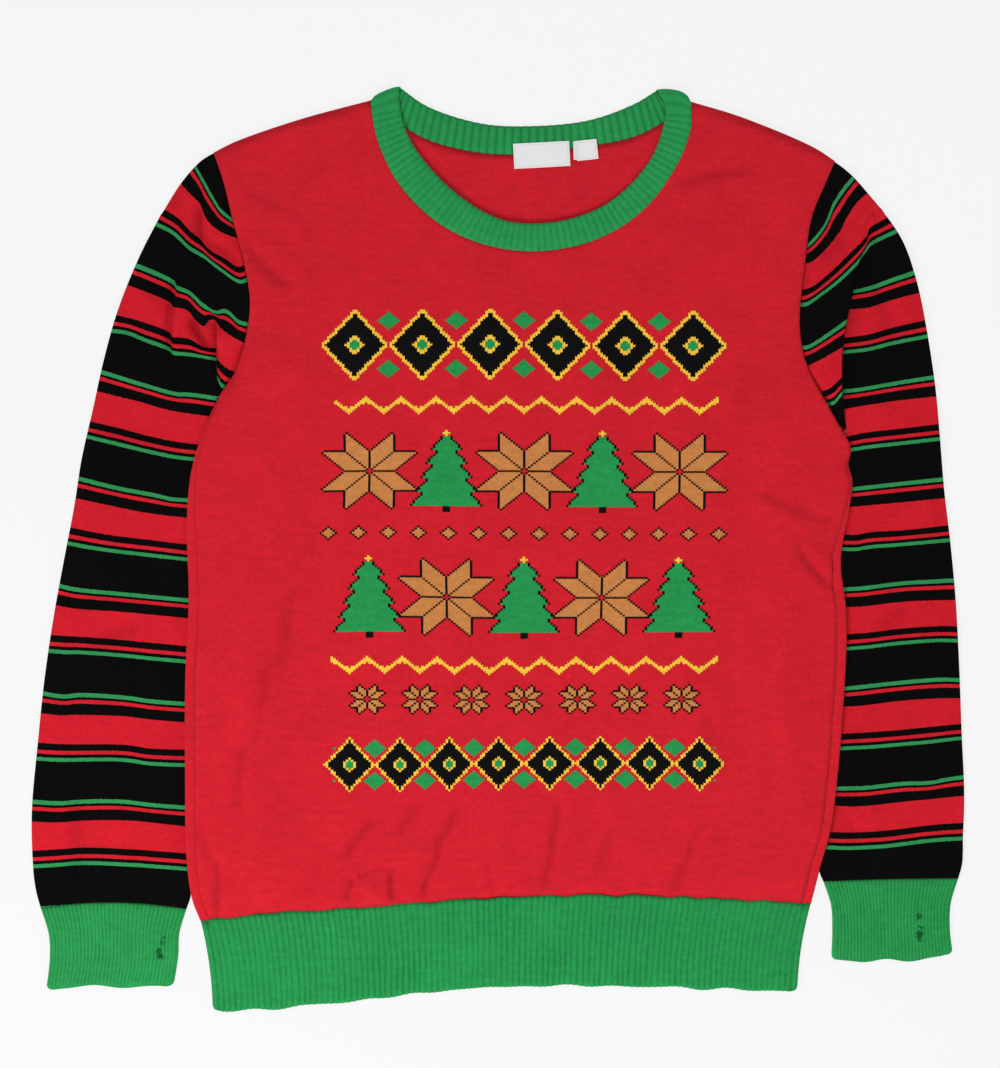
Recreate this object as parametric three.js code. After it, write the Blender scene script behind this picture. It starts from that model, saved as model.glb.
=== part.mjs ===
// A knitted pullover laid flat on its back, front up, seen from above with the neck towards +Y.
// Millimetres, +Z up. The origin lies on the floor below the middle of the outline.
// Left and right are the viewer's. Each cloth piece is a closed wall between two skins.

import * as THREE from 'three';

// Cloth
const CLOTH = 1.8;          // thickness of the plain jersey
const LAYER_GAP = 0.3;      // clearance between two layers
const SEAM_GAP = 0.35;      // clearance between two pieces at a seam
const RIB_WALL = 1.6;       // rib band without its raised ribs
const RIB_RISE = 0.8;       // height of a raised rib
const FRONT_LEVEL = CLOTH + LAYER_GAP;                 // underside of the front layer
const TUBE_HEIGHT = 2 * CLOTH + LAYER_GAP;             // a flattened tube of two layers
const LIFT = TUBE_HEIGHT + LAYER_GAP;                  // body side above the sleeve it covers

// Body
const SIDE_TURN = 6.0;      // how far the back panel comes round onto the front
const EDGE_RUN = 0.4;       // the least length of cloth past that turn
const UNDERARM_INSET = 3.0; // the front stops this far from the edge at the underarm
const SIDE_SLOPE = 46;      // width over which the body comes down off the sleeve
const EDGE_CURVE = 3.3;     // length of cloth in the turned edge
const LIFT_START = -284;    // the body's sides rise onto the sleeves from here
const LIFT_RUN = 24;
const ARMHOLE_FLAT = 8;     // width beside the armhole seam that keeps the seam's height
const ARMHOLE_LIFT_END = 0.1;    // share of the armhole, from the underarm, at full height
const ARMHOLE_LIFT_RUN = 0.45;   // share of it over which the body comes down
const SEAM_TURN_ROWS = 3;   // rows over which the side seam comes round onto the front
const ROWS_SIDE = 13;       // rows from the hem to the underarm
const ROWS_ARMHOLE = 7;     // rows from the underarm to the shoulder point
const ROWS_YOKE = 4;        // of those, the rows up to just below the neck
const COLUMNS_SHOULDER = 5;
const COLUMNS_NECK = 14;
const SIDE_FLAT = 50;       // width of the body that lies flat over the sleeve

// Ribs
const HEM_RIBS = 98;
const CUFF_RIBS = 20;
const COLLAR_FRONT_RIBS = 68;
const COLLAR_BACK_RIBS = 40;
const RIB_STEPS = 2;        // points in one rib
const HEM_PLAIN_COLUMNS = 24;    // columns of the hem's plain inner skin
const HEM_BACK_COLUMNS = 14;
const CUFF_PLAIN_COLUMNS = 8;
const ARC_STEPS = 4;        // steps round a turned edge

// Collar and labels
const COLLAR_STAND = 1.0;   // the front half stands this far above the front layer
const FOLD_RADIUS = 1.6;    // half the height of the collar's fold at each shoulder
const COLLAR_EDGE_POINTS = 40;   // points along a free edge of the collar
const FRONT_END = 0.012;    // share of the front neckline left to the collar's fold
const BACK_END = 0.024;     // share of the back neckline left to it
const COLLAR_RISE_RUN = 0.1;     // share of the front half that comes down from the fold
const COLLAR_CORNER = 2.0;  // the fold keeps this far from the corner of the neckline
const LABEL_THICK = 0.5;
const LABEL_LEVEL = RIB_WALL + RIB_RISE + LAYER_GAP;

// Outline of the body, from the hem seam up to the underarm
const sideLeft = [
  { across: -232.1, up: -288.9 },
  { across: -237.9, up: -273.0 },
  { across: -242.4, up: -240.0 },
  { across: -243.6, up: -173.5 },
  { across: -243.4, up: -100.0 },
  { across: -240.7, up: -36.2 },
  { across: -242.2, up: 20.0 },
  { across: -238.5, up: 62.0 },
  { across: -227.5, up: 97.0 },
  { across: -216.8, up: 119.8 },
];
const sideRight = [
  { across: 244.1, up: -275.7 },
  { across: 250.6, up: -248.0 },
  { across: 259.0, up: -217.9 },
  { across: 265.0, up: -170.0 },
  { across: 270.7, up: -90.0 },
  { across: 271.3, up: -50.2 },
  { across: 266.9, up: -8.0 },
  { across: 273.2, up: 30.0 },
  { across: 275.3, up: 57.0 },
  { across: 273.8, up: 82.4 },
];
// Armhole seams, from the underarm up to the shoulder point
const armholeLeft = [
  { across: -216.8, up: 119.8 },
  { across: -204.4, up: 138.5 },
  { across: -196.6, up: 163.0 },
  { across: -193.1, up: 192.0 },
  { across: -197.6, up: 222.8 },
  { across: -206.7, up: 257.1 },
  { across: -213.7, up: 285.9 },
  { across: -221.5, up: 309.3 },
];
const armholeRight = [
  { across: 273.8, up: 82.4 },
  { across: 258.0, up: 109.5 },
  { across: 240.0, up: 145.0 },
  { across: 234.9, up: 175.0 },
  { across: 238.6, up: 217.0 },
  { across: 244.5, up: 259.0 },
  { across: 254.5, up: 284.0 },
  { across: 262.6, up: 302.6 },
];
// Shoulders, from the shoulder point to the neck
const shoulderLeft = [
  { across: -221.5, up: 309.3 },
  { across: -205.0, up: 317.6 },
  { across: -155.0, up: 335.0 },
  { across: -98.2, up: 350.2 },
];
const shoulderRight = [
  { across: 149.6, up: 349.2 },
  { across: 190.0, up: 336.8 },
  { across: 245.0, up: 313.8 },
  { across: 262.6, up: 302.6 },
];
// Necklines: the seam of the collar on the front and on the back, and its free edges
const neckFront = [
  { across: -98.2, up: 350.2 },
  { across: -96.7, up: 335.9 },
  { across: -91.5, up: 315.0 },
  { across: -75.7, up: 284.4 },
  { across: -45.2, up: 254.7 },
  { across: -7.0, up: 237.6 },
  { across: 35.5, up: 233.6 },
  { across: 79.6, up: 243.8 },
  { across: 113.1, up: 265.7 },
  { across: 137.5, up: 298.0 },
  { across: 149.3, up: 328.0 },
  { across: 149.6, up: 349.2 },
];
const neckBack = [
  { across: -98.2, up: 350.2 },
  { across: -72.5, up: 328.8 },
  { across: -49.1, up: 317.1 },
  { across: -7.0, up: 308.3 },
  { across: 35.0, up: 309.5 },
  { across: 79.6, up: 315.6 },
  { across: 107.2, up: 322.0 },
  { across: 129.5, up: 333.5 },
  { across: 149.6, up: 349.2 },
];
const freeFront = [
  { across: -77.2, up: 358.6 },
  { across: -75.7, up: 339.8 },
  { across: -65.5, up: 314.0 },
  { across: -34.3, up: 278.9 },
  { across: 3.9, up: 256.7 },
  { across: 46.8, up: 255.5 },
  { across: 87.4, up: 271.1 },
  { across: 120.1, up: 306.2 },
  { across: 130.3, up: 343.0 },
  { across: 125.6, up: 357.0 },
];
const freeBack = [
  { across: -77.2, up: 358.6 },
  { across: -54.6, up: 345.2 },
  { across: -12.5, up: 332.0 },
  { across: 24.2, up: 330.0 },
  { across: 70.0, up: 334.4 },
  { across: 105.3, up: 346.8 },
  { across: 125.6, up: 357.0 },
];
// Hem: its seam to the body, its free edge, and its side edges
const hemSeam = [
  { across: -232.1, up: -288.9 },
  { across: -172.4, up: -282.6 },
  { across: -112.0, up: -279.2 },
  { across: -49.5, up: -274.1 },
  { across: 25.0, up: -270.2 },
  { across: 90.0, up: -269.2 },
  { across: 181.0, up: -272.3 },
  { across: 244.1, up: -275.7 },
];
const hemEdge = [
  { across: -223.5, up: -359.6 },
  { across: -185.6, up: -357.6 },
  { across: -115.4, up: -351.3 },
  { across: -30.4, up: -342.3 },
  { across: 40.0, up: -339.6 },
  { across: 130.0, up: -340.6 },
  { across: 234.4, up: -344.0 },
];
const HEM_WAIST = 0.55;     // where the hem's sides bend, as a share of its height
const HEM_BEND = 2.6;       // how far they bend outwards on the left and inwards on the right

const NEARLY_FLAT = 0.001;  // the least turn of an edge, in radians

// Soft folds of the front: a low ridge each, leaning by so many millimetres across its length
const frontFolds = [
  { across: -182, up: -205, length: 130, width: 26, height: 1.5, lean: 8 },
  { across: -128, up: -190, length: 150, width: 30, height: 1.2, lean: -12 },
  { across: -70, up: -215, length: 110, width: 28, height: 1.3, lean: 10 },
  { across: 20, up: -205, length: 120, width: 34, height: 0.9, lean: -6 },
  { across: 104, up: -200, length: 140, width: 28, height: 1.4, lean: 14 },
  { across: 168, up: -180, length: 170, width: 30, height: 1.2, lean: -16 },
  { across: 222, up: -90, length: 190, width: 26, height: 1.5, lean: 10 },
  { across: -206, up: 10, length: 180, width: 26, height: 1.3, lean: -8 },
  { across: -150, up: 215, length: 110, width: 40, height: 1.2, lean: 46 },
  { across: 190, up: 205, length: 120, width: 40, height: 1.3, lean: -50 },
];

const FOLD_FALL = 1.6;      // how fast a fold falls off across its width

// Sleeves: a row for each section, from the armhole seam's fold down to the cuff seam.
// outer is on the outline, inner is hidden below the body; bow bends the section's middle.
const sleeveLeft = [
  { outerX: -262.5, outerY: 262.0, innerX: -213.5, innerY: 112.5, bow: 5 },
  { outerX: -279.2, outerY: 229.8, innerX: -208.0, innerY: 106.0, bow: 8 },
  { outerX: -296.5, outerY: 187.5, innerX: -201.0, innerY: 99.0, bow: 8 },
  { outerX: -307.5, outerY: 149.0, innerX: -196.0, innerY: 90.0, bow: 7 },
  { outerX: -316.5, outerY: 108.0, innerX: -195.0, innerY: 74.0, bow: 5 },
  { outerX: -325.0, outerY: 70.0, innerX: -196.5, innerY: 50.0, bow: 4 },
  { outerX: -330.5, outerY: 34.0, innerX: -200.0, innerY: 22.0, bow: 3 },
  { outerX: -339.0, outerY: -11.0, innerX: -206.0, innerY: -19.0, bow: 2 },
  { outerX: -346.5, outerY: -53.0, innerX: -212.5, innerY: -58.0, bow: 2 },
  { outerX: -353.5, outerY: -101.0, innerX: -220.0, innerY: -104.0, bow: 1 },
  { outerX: -358.5, outerY: -149.0, innerX: -227.5, innerY: -152.0, bow: 1 },
  { outerX: -363.3, outerY: -204.0, innerX: -235.0, innerY: -206.0, bow: 2 },
  { outerX: -362.4, outerY: -243.0, innerX: -242.0, innerY: -246.0, bow: 3 },
  { outerX: -356.5, outerY: -278.8, innerX: -242.6, innerY: -279.6, bow: 4.6 },
];
const sleeveRight = [
  { outerX: 299.0, outerY: 266.0, innerX: 268.0, innerY: 75.5, bow: 4 },
  { outerX: 316.0, outerY: 240.0, innerX: 260.0, innerY: 69.0, bow: 6 },
  { outerX: 327.5, outerY: 206.0, innerX: 251.0, innerY: 61.5, bow: 7 },
  { outerX: 335.5, outerY: 166.0, innerX: 243.0, innerY: 54.0, bow: 6 },
  { outerX: 341.5, outerY: 126.0, innerX: 236.5, innerY: 44.0, bow: 5 },
  { outerX: 345.0, outerY: 88.0, innerX: 232.5, innerY: 31.0, bow: 4 },
  { outerX: 348.5, outerY: 45.0, innerX: 231.0, innerY: 12.0, bow: 4 },
  { outerX: 353.0, outerY: 6.0, innerX: 232.5, innerY: -16.0, bow: 3 },
  { outerX: 357.0, outerY: -38.0, innerX: 236.0, innerY: -52.0, bow: 2 },
  { outerX: 359.6, outerY: -87.0, innerX: 240.5, innerY: -96.0, bow: 1 },
  { outerX: 361.5, outerY: -141.0, innerX: 245.0, innerY: -147.0, bow: 1 },
  { outerX: 363.5, outerY: -192.0, innerX: 248.5, innerY: -196.0, bow: 1 },
  { outerX: 362.0, outerY: -227.0, innerX: 250.8, innerY: -230.0, bow: 1 },
  { outerX: 358.8, outerY: -256.2, innerX: 253.5, innerY: -258.5, bow: 1 },
];
// The fold that lies beside each armhole, from the outline down to the underarm
const sleeveFoldLeft = [
  { across: -236.0, up: 299.5 },
  { across: -232.5, up: 271.0 },
  { across: -227.5, up: 236.0 },
  { across: -223.9, up: 202.5 },
  { across: -219.2, up: 174.0 },
  { across: -218.0, up: 147.9 },
  { across: -217.4, up: 130.0 },
  { across: -215.8, up: 118.4 },
];
const sleeveFoldRight = [
  { across: 289.5, up: 278.5 },
  { across: 287.2, up: 245.4 },
  { across: 280.0, up: 222.3 },
  { across: 273.2, up: 190.0 },
  { across: 268.5, up: 165.0 },
  { across: 266.8, up: 130.0 },
  { across: 269.6, up: 99.0 },
  { across: 272.4, up: 80.8 },
];
const FOLD_FOOT = 5;        // plan width of the step off that fold
const SEAM_DROP_START = 0.72;    // share of the armhole seam, from the shoulder, where the
const SEAM_DROP_RUN = 0.14;      // sleeve starts to go down below the body, and its run

// Cuffs: a row for each section, from the sleeve seam to the free edge
const cuffLeft = [
  { outerX: -356.5, outerY: -278.8, innerX: -242.6, innerY: -279.6, bow: 4.6 },
  { outerX: -350.2, outerY: -300.0, innerX: -248.2, innerY: -299.0, bow: 3 },
  { outerX: -349.4, outerY: -318.0, innerX: -249.0, innerY: -316.0, bow: 2 },
  { outerX: -352.2, outerY: -342.6, innerX: -252.6, innerY: -341.0, bow: 1.6 },
];
const cuffRight = [
  { outerX: 358.8, outerY: -256.2, innerX: 253.5, innerY: -258.5, bow: 1 },
  { outerX: 353.0, outerY: -276.0, innerX: 259.4, innerY: -277.0, bow: 0 },
  { outerX: 352.4, outerY: -296.0, innerX: 260.4, innerY: -297.0, bow: -2 },
  { outerX: 354.6, outerY: -316.6, innerX: 259.6, innerY: -317.0, bow: -4.5 },
];

// Labels, hanging from the back neck seam: corner, width, length and tilt in degrees
const labels = [
  { name: 'label_main', across: 11.7, up: 316.2, width: 43.8, length: 19.6, tilt: 3 },
  { name: 'label_size', across: 60.2, up: 318.3, width: 16.6, length: 15.6, tilt: 6 },
];

const colours = {
  red: 0xcc2030,
  green: 0x2b9a50,
  stripe: 0x1c1517,
  label: 0xe1e1e4,
};

const V = (x, y, z = 0) => new THREE.Vector3(x, y, z);
const mix = (a, b, t) => a + (b - a) * t;
const smooth = (t) => THREE.MathUtils.smoothstep(t, 0, 1);

const curves = new Map();

function curveOf(rows) {
  if (!curves.has(rows)) {
    const points = rows.map((row) => V(row.across, row.up));
    curves.set(rows, new THREE.CatmullRomCurve3(points, false, 'centripetal'));
  }
  return curves.get(rows);
}

// Evenly spaced points along a table's curve
function alongTable(rows, spans) {
  return curveOf(rows).getSpacedPoints(spans);
}

// A point part of the way along a polyline, measured by its length
function pointOnPolyline(points, share) {
  const lengths = [0];
  for (let i = 1; i < points.length; i += 1) {
    lengths.push(lengths[i - 1] + points[i].distanceTo(points[i - 1]));
  }
  const wanted = share * lengths[lengths.length - 1];
  let i = 1;
  while (i < points.length - 1 && lengths[i] < wanted) i += 1;
  const t = (wanted - lengths[i - 1]) / (lengths[i] - lengths[i - 1]);
  return points[i - 1].clone().lerp(points[i], t);
}

// The polyline moved sideways in plan; a positive distance goes to its left
function offsetPolyline(points, distance) {
  return points.map((point, i) => {
    const before = points[Math.max(i - 1, 0)];
    const after = points[Math.min(i + 1, points.length - 1)];
    const along = after.clone().sub(before).setZ(0).normalize();
    return V(point.x - along.y * distance, point.y + along.x * distance, point.z);
  });
}

// Height added by the soft folds
function foldHeight(folds, x, y) {
  let height = 0;
  for (const fold of folds) {
    const along = (y - fold.up) / (fold.length / 2);
    if (Math.abs(along) < 1) {
      const aside = (x - fold.across - (fold.lean / 2) * along) / (fold.width / 2);
      const ridge = Math.exp(-aside * aside * FOLD_FALL);
      height += fold.height * ridge * (1 - along * along) ** 2;
    }
  }
  return height;
}

// Triangles between two rows of indices that run the same way and may differ in number
function zip(lower, upper, faces, flip) {
  let i = 0;
  let j = 0;
  while (i < lower.length - 1 || j < upper.length - 1) {
    const nextLower = (i + 1) / (lower.length - 1);
    const nextUpper = (j + 1) / (upper.length - 1);
    let triangle;
    if (j === upper.length - 1 || (i < lower.length - 1 && nextLower <= nextUpper)) {
      triangle = [lower[i], lower[i + 1], upper[j]];
      i += 1;
    } else {
      triangle = [lower[i], upper[j + 1], upper[j]];
      j += 1;
    }
    if (flip) triangle.reverse();
    faces.push(...triangle);
  }
}

// A closed wall between an outer and an inner skin, each a grid of rows of points.
// The outer skin's rows go so that its columns turn left seen from outside.
// A ring's rows close on themselves.
function wall(outer, inner, ring = false) {
  const positions = [];
  const faces = [];
  const index = (skin) => skin.map((row) => row.map((point) => {
    positions.push(point.x, point.y, point.z);
    return positions.length / 3 - 1;
  }));
  const close = (row) => (ring ? [...row, row[0]] : row);
  const outerRows = index(outer).map(close);
  const innerRows = index(inner).map(close);
  for (let r = 0; r < outerRows.length - 1; r += 1) zip(outerRows[r], outerRows[r + 1], faces, false);
  for (let r = 0; r < innerRows.length - 1; r += 1) zip(innerRows[r], innerRows[r + 1], faces, true);
  zip(innerRows[0], outerRows[0], faces, false);
  zip(outerRows[outerRows.length - 1], innerRows[innerRows.length - 1], faces, false);
  if (!ring) {
    const first = (rows) => rows.map((row) => row[0]);
    const last = (rows) => rows.map((row) => row[row.length - 1]);
    zip(first(outerRows), first(innerRows), faces, false);
    zip(last(innerRows), last(outerRows), faces, false);
  }
  const geometry = new THREE.BufferGeometry();
  geometry.setAttribute('position', new THREE.Float32BufferAttribute(positions, 3));
  geometry.setIndex(faces);
  geometry.computeVertexNormals();
  return geometry;
}

function meshOf(name, geometry, colour) {
  const material = new THREE.MeshStandardMaterial({ color: colour, roughness: 0.95, metalness: 0 });
  const mesh = new THREE.Mesh(geometry, material);
  mesh.name = name;
  return mesh;
}

// A grid across an outline of four sides (a Coons patch); each side is a list of points
function gridInOutline(bottom, top, left, right) {
  const rows = [];
  const span = (points, j) => {
    const first = points[0].x;
    return (points[j].x - first) / (points[points.length - 1].x - first);
  };
  for (let i = 0; i < left.length; i += 1) {
    const v = i / (left.length - 1);
    const row = [];
    for (let j = 0; j < bottom.length; j += 1) {
      const u = span(top, j);
      const across = left[i].clone().lerp(right[i], u);
      const upward = bottom[j].clone().lerp(top[j], v);
      const corners = bottom[0].clone().lerp(bottom[bottom.length - 1], u)
        .lerp(top[0].clone().lerp(top[top.length - 1], u), v);
      row.push(across.add(upward).sub(corners));
    }
    rows.push(row);
  }
  return rows;
}

// The body's outline, shared by its panels, the sleeves and the hem
const sidePointsLeft = alongTable(sideLeft, ROWS_SIDE);
const sidePointsRight = alongTable(sideRight, ROWS_SIDE);
const armPointsLeft = alongTable(armholeLeft, ROWS_ARMHOLE);
const armPointsRight = alongTable(armholeRight, ROWS_ARMHOLE);
const edgeLeft = [...sidePointsLeft, ...armPointsLeft.slice(1)];
const edgeRight = [...sidePointsRight, ...armPointsRight.slice(1)];
const UNDERARM = ROWS_SIDE;

// How far the body is lifted at a height on its left or right edge
function edgeLift(row) {
  if (row <= UNDERARM) {
    const up = (edgeLeft[row].y + edgeRight[row].y) / 2;
    return LIFT * smooth((up - LIFT_START) / LIFT_RUN);
  }
  const share = (row - UNDERARM) / ROWS_ARMHOLE;
  return LIFT * (1 - smooth((share - ARMHOLE_LIFT_END) / ARMHOLE_LIFT_RUN));
}

// Height of the body's underside: high over the sleeves, on the floor in the middle
function bodyLift(point, row) {
  const nearest = Math.min(point.x - edgeLeft[row].x, edgeRight[row].x - point.x);
  const flat = row <= UNDERARM ? SIDE_FLAT : ARMHOLE_FLAT;
  return edgeLift(row) * (1 - smooth((nearest - flat) / SIDE_SLOPE));
}

// Distance by which the front stops short of the outline at each row
function frontInset(row) {
  if (row > UNDERARM) return 0;
  if (row === UNDERARM) return UNDERARM_INSET;
  return TUBE_HEIGHT / 2 + sideRun(row) + LAYER_GAP;
}

// How far the back's turned edge runs back in over the front
function sideRun(row) {
  return EDGE_RUN + (SIDE_TURN - EDGE_RUN) * smooth((UNDERARM - 1 - row) / SEAM_TURN_ROWS);
}

const FINE_SPANS = 200;
const fineCurves = new Map();

// The height of a table's curve at a place across it
function heightAt(rows, x) {
  if (!fineCurves.has(rows)) fineCurves.set(rows, alongTable(rows, FINE_SPANS));
  const points = fineCurves.get(rows);
  const found = points.findIndex((candidate) => candidate.x >= x);
  const after = found < 0 ? points.length - 1 : Math.max(found, 1);
  const before = points[after - 1];
  return mix(before.y, points[after].y, (x - before.x) / (points[after].x - before.x));
}

// Top edge of a panel; both panels' columns stand at the same places across the neck
function topEdge(neck) {
  const start = alongTable(shoulderLeft, COLUMNS_SHOULDER);
  const places = alongTable(neckFront, COLUMNS_NECK).slice(1, -1);
  const middle = places.map((point) => (
    neck === neckFront ? point : V(point.x, heightAt(neck, point.x))
  ));
  const end = alongTable(shoulderRight, COLUMNS_SHOULDER);
  return [...start, ...middle, ...end];
}

// Plan of a panel: up to the yoke line both panels share their points, which keeps their
// layers parallel; above it each has its own neckline
function panelPlan(neck) {
  const top = topEdge(neck);
  const shares = top.map((point) => (point.x - top[0].x) / (top[top.length - 1].x - top[0].x));
  const bottom = shares.map((share) => {
    const x = mix(edgeLeft[0].x, edgeRight[0].x, share);
    return V(x, heightAt(hemSeam, x));
  });
  const yokeRow = UNDERARM + ROWS_YOKE;
  const yoke = shares.map((share) => edgeLeft[yokeRow].clone().lerp(edgeRight[yokeRow], share));
  const lower = gridInOutline(
    bottom, yoke, edgeLeft.slice(0, yokeRow + 1), edgeRight.slice(0, yokeRow + 1),
  );
  const upper = gridInOutline(yoke, top, edgeLeft.slice(yokeRow), edgeRight.slice(yokeRow));
  return [...lower, ...upper.slice(1)];
}

function heighten(grid, heightOf) {
  return grid.map((row, i) => row.map((point) => V(point.x, point.y, heightOf(point, i))));
}

function bodyFront() {
  const strip = EDGE_CURVE + EDGE_RUN;
  const plan = panelPlan(neckFront).map((row, i) => {
    const from = edgeLeft[i].x + frontInset(i);
    const to = edgeRight[i].x - frontInset(i);
    const at = (x, y) => V(x, i === 0 ? heightAt(hemSeam, x) : y);
    const near = [from, from + strip].map((x) => at(x, row[0].y));
    const far = [to - strip, to].map((x) => at(x, row[row.length - 1].y));
    return [...near, ...row.slice(1, -1), ...far];
  });
  const under = heighten(plan, (p, i) => FRONT_LEVEL + bodyLift(p, i) + foldHeight(frontFolds, p.x, p.y));
  const upper = under.map((row) => row.map((p) => V(p.x, p.y, p.z + CLOTH)));
  return wall(upper, under);
}

// The section of the back's turned side edge: distance in from the outline, height of the
// wall's middle, and the way its outer skin faces
function turnedEdge(turn, run) {
  const angle = Math.max(turn * Math.PI, NEARLY_FLAT);
  const radius = EDGE_CURVE / angle;
  const path = [];
  for (let step = 0; step <= ARC_STEPS; step += 1) {
    const phi = (angle * step) / ARC_STEPS;
    path.push({ out: radius * Math.sin(phi), high: radius * (1 - Math.cos(phi)), phi });
  }
  const end = path[path.length - 1];
  path.push({
    out: end.out + run * Math.cos(angle),
    high: end.high + run * Math.sin(angle),
    phi: angle,
  });
  const reach = turn > 0 ? radius + CLOTH / 2 : end.out + run;
  return path.map((step) => ({ inward: reach - step.out, high: step.high, phi: step.phi }));
}

// Rows of a layer on the floor with both side edges turned up and over
function turnedPanel(plan, edges, turns, runs, liftOf, wallThickness) {
  const outer = [];
  const inner = [];
  plan.forEach((row, i) => {
    const section = turnedEdge(turns[i], runs[i]);
    const half = wallThickness / 2;
    const side = (edge, sign) => section.map((step) => {
      const lift = liftOf(V(edge.x + sign * step.inward, edge.y), i);
      const x = edge.x + sign * step.inward;
      const z = lift + half + step.high;
      const faceX = -sign * Math.sin(step.phi) * half;
      const faceZ = -Math.cos(step.phi) * half;
      return {
        outer: V(x + faceX, edge.y, z + faceZ),
        inner: V(x - faceX, edge.y, z - faceZ),
      };
    });
    const left = side(edges.left[i], 1).reverse();
    const right = side(edges.right[i], -1);
    const middle = row.slice(1, -1).map((point) => {
      const z = liftOf(point, i);
      return { outer: V(point.x, point.y, z), inner: V(point.x, point.y, z + wallThickness) };
    });
    const all = [...left, ...middle, ...right];
    outer.push(all.map((pair) => pair.outer));
    inner.push(all.map((pair) => pair.inner));
  });
  return wall(inner, outer);
}

function bodyBack() {
  const plan = panelPlan(neckBack);
  const turns = edgeLeft.map((_, i) => (i < UNDERARM ? 1 : 0));
  const runs = edgeLeft.map((_, i) => (i < UNDERARM ? sideRun(i) : EDGE_RUN));
  return turnedPanel(plan, { left: edgeLeft, right: edgeRight }, turns, runs, bodyLift, CLOTH);
}

// The hem's outline at a share of its height, from its seam down
function hemRow(share, spans, inset) {
  const bend = HEM_BEND * (1 - ((share - HEM_WAIST) / HEM_WAIST) ** 2);
  const upper = alongTable(hemSeam, spans);
  const lower = alongTable(hemEdge, spans);
  return upper.map((point, j) => {
    const u = j / spans;
    const edge = point.clone().lerp(lower[j], share);
    const shift = mix(inset, -inset, u);
    edge.x += bend * mix(1, -1, u) + shift;
    const slope = (heightAt(hemSeam, point.x + shift) - point.y) * (1 - share);
    edge.y += slope - SEAM_GAP * (1 - share);
    return edge;
  });
}

const hemShares = [1, HEM_WAIST, 0];

function hemFront() {
  const ribs = HEM_RIBS * RIB_STEPS;
  const inset = TUBE_HEIGHT / 2 + SIDE_TURN + LAYER_GAP;
  const upper = hemShares.map((share) => hemRow(share, ribs, inset).map((point, j) => {
    const rise = j % RIB_STEPS === 0 ? 0 : RIB_RISE;
    return V(point.x, point.y, FRONT_LEVEL + RIB_WALL + rise);
  }));
  const under = hemShares.map((share) => hemRow(share, HEM_PLAIN_COLUMNS, inset).map(
    (point) => V(point.x, point.y, FRONT_LEVEL),
  ));
  return wall(upper, under);
}

function hemBack() {
  const plan = hemShares.map((share) => hemRow(share, HEM_BACK_COLUMNS, 0));
  const left = plan.map((row) => row[0]);
  const right = plan.map((row) => row[row.length - 1]);
  const turns = hemShares.map(() => 1);
  const runs = hemShares.map(() => SIDE_TURN);
  return turnedPanel(plan, { left, right }, turns, runs, () => 0, CLOTH);
}

// A flattened tube. Each section gives its upper points from the outline inwards, with the
// heights of the wall's middle above and below; ribs raise the upper skin only.
function tube(sections, options) {
  const { half, lowerCount, ribs } = options;
  const skin = (side) => sections.map((section) => {
    const points = [];
    const { upper, levels, lowerLevels } = section;
    const last = upper.length - 1;
    const count = side > 0 || !ribs ? last : CUFF_PLAIN_COLUMNS;
    for (let j = 0; j <= count; j += 1) {
      const point = pointOnSection(upper, j / count);
      const level = levels(j / count);
      const rise = ribs && side > 0 && j % RIB_STEPS === 1 ? RIB_RISE : 0;
      points.push(V(point.x, point.y, level + side * half + rise));
    }
    const arc = (end, toward, share) => {
      const top = levels(share);
      const low = lowerLevels(share);
      const radius = (top - low) / 2 + side * half;
      const away = end.clone().sub(toward).normalize();
      for (let a = 1; a < ARC_STEPS; a += 1) {
        const angle = (Math.PI * a) / ARC_STEPS;
        const point = end.clone().addScaledVector(away, radius * Math.sin(angle));
        point.z = (top + low) / 2 + radius * Math.cos(angle);
        points.push(point);
      }
    };
    arc(upper[last], upper[last - 1], 1);
    for (let j = 0; j <= lowerCount; j += 1) {
      const share = 1 - j / lowerCount;
      const point = pointOnSection(upper, share);
      points.push(V(point.x, point.y, lowerLevels(share) - side * half));
    }
    const outerEnd = [];
    const top = levels(0);
    const low = lowerLevels(0);
    const radius = (top - low) / 2 + side * half;
    const away = upper[0].clone().sub(upper[1]).normalize();
    for (let a = ARC_STEPS - 1; a >= 1; a -= 1) {
      const angle = (Math.PI * a) / ARC_STEPS;
      const point = upper[0].clone().addScaledVector(away, radius * Math.sin(angle));
      point.z = (top + low) / 2 + radius * Math.cos(angle);
      outerEnd.push(point);
    }
    return [...points, ...outerEnd];
  });
  return { outer: skin(1), inner: skin(-1) };
}

function pointOnSection(points, share) {
  const place = share * (points.length - 1);
  const i = Math.min(Math.floor(place), points.length - 2);
  return points[i].clone().lerp(points[i + 1], place - i);
}

// A straight section with a bow, pulled in at both ends by the radius of its turned edge
function sectionLine(row, spans, pull) {
  const start = V(row.outerX, row.outerY);
  const end = V(row.innerX, row.innerY);
  const along = end.clone().sub(start).normalize();
  start.addScaledVector(along, pull);
  end.addScaledVector(along, -pull);
  const points = [];
  for (let j = 0; j <= spans; j += 1) {
    const u = j / spans;
    const point = start.clone().lerp(end, u);
    point.y += row.bow * 4 * u * (1 - u);
    points.push(point);
  }
  return points;
}

const MIDDLE_LOW = CLOTH / 2;
const MIDDLE_HIGH = FRONT_LEVEL + CLOTH / 2;
const EDGE_PULL = TUBE_HEIGHT / 2;

// Lift of the sleeve's upper layer beside the armhole seam; it ends before the underarm
function seamLift(share) {
  const row = UNDERARM + ROWS_ARMHOLE * (1 - share);
  const below = Math.floor(row);
  const lift = mix(edgeLift(below), edgeLift(Math.min(below + 1, UNDERARM + ROWS_ARMHOLE)), row - below);
  return lift * (1 - smooth((share - SEAM_DROP_START) / SEAM_DROP_RUN));
}

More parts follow.
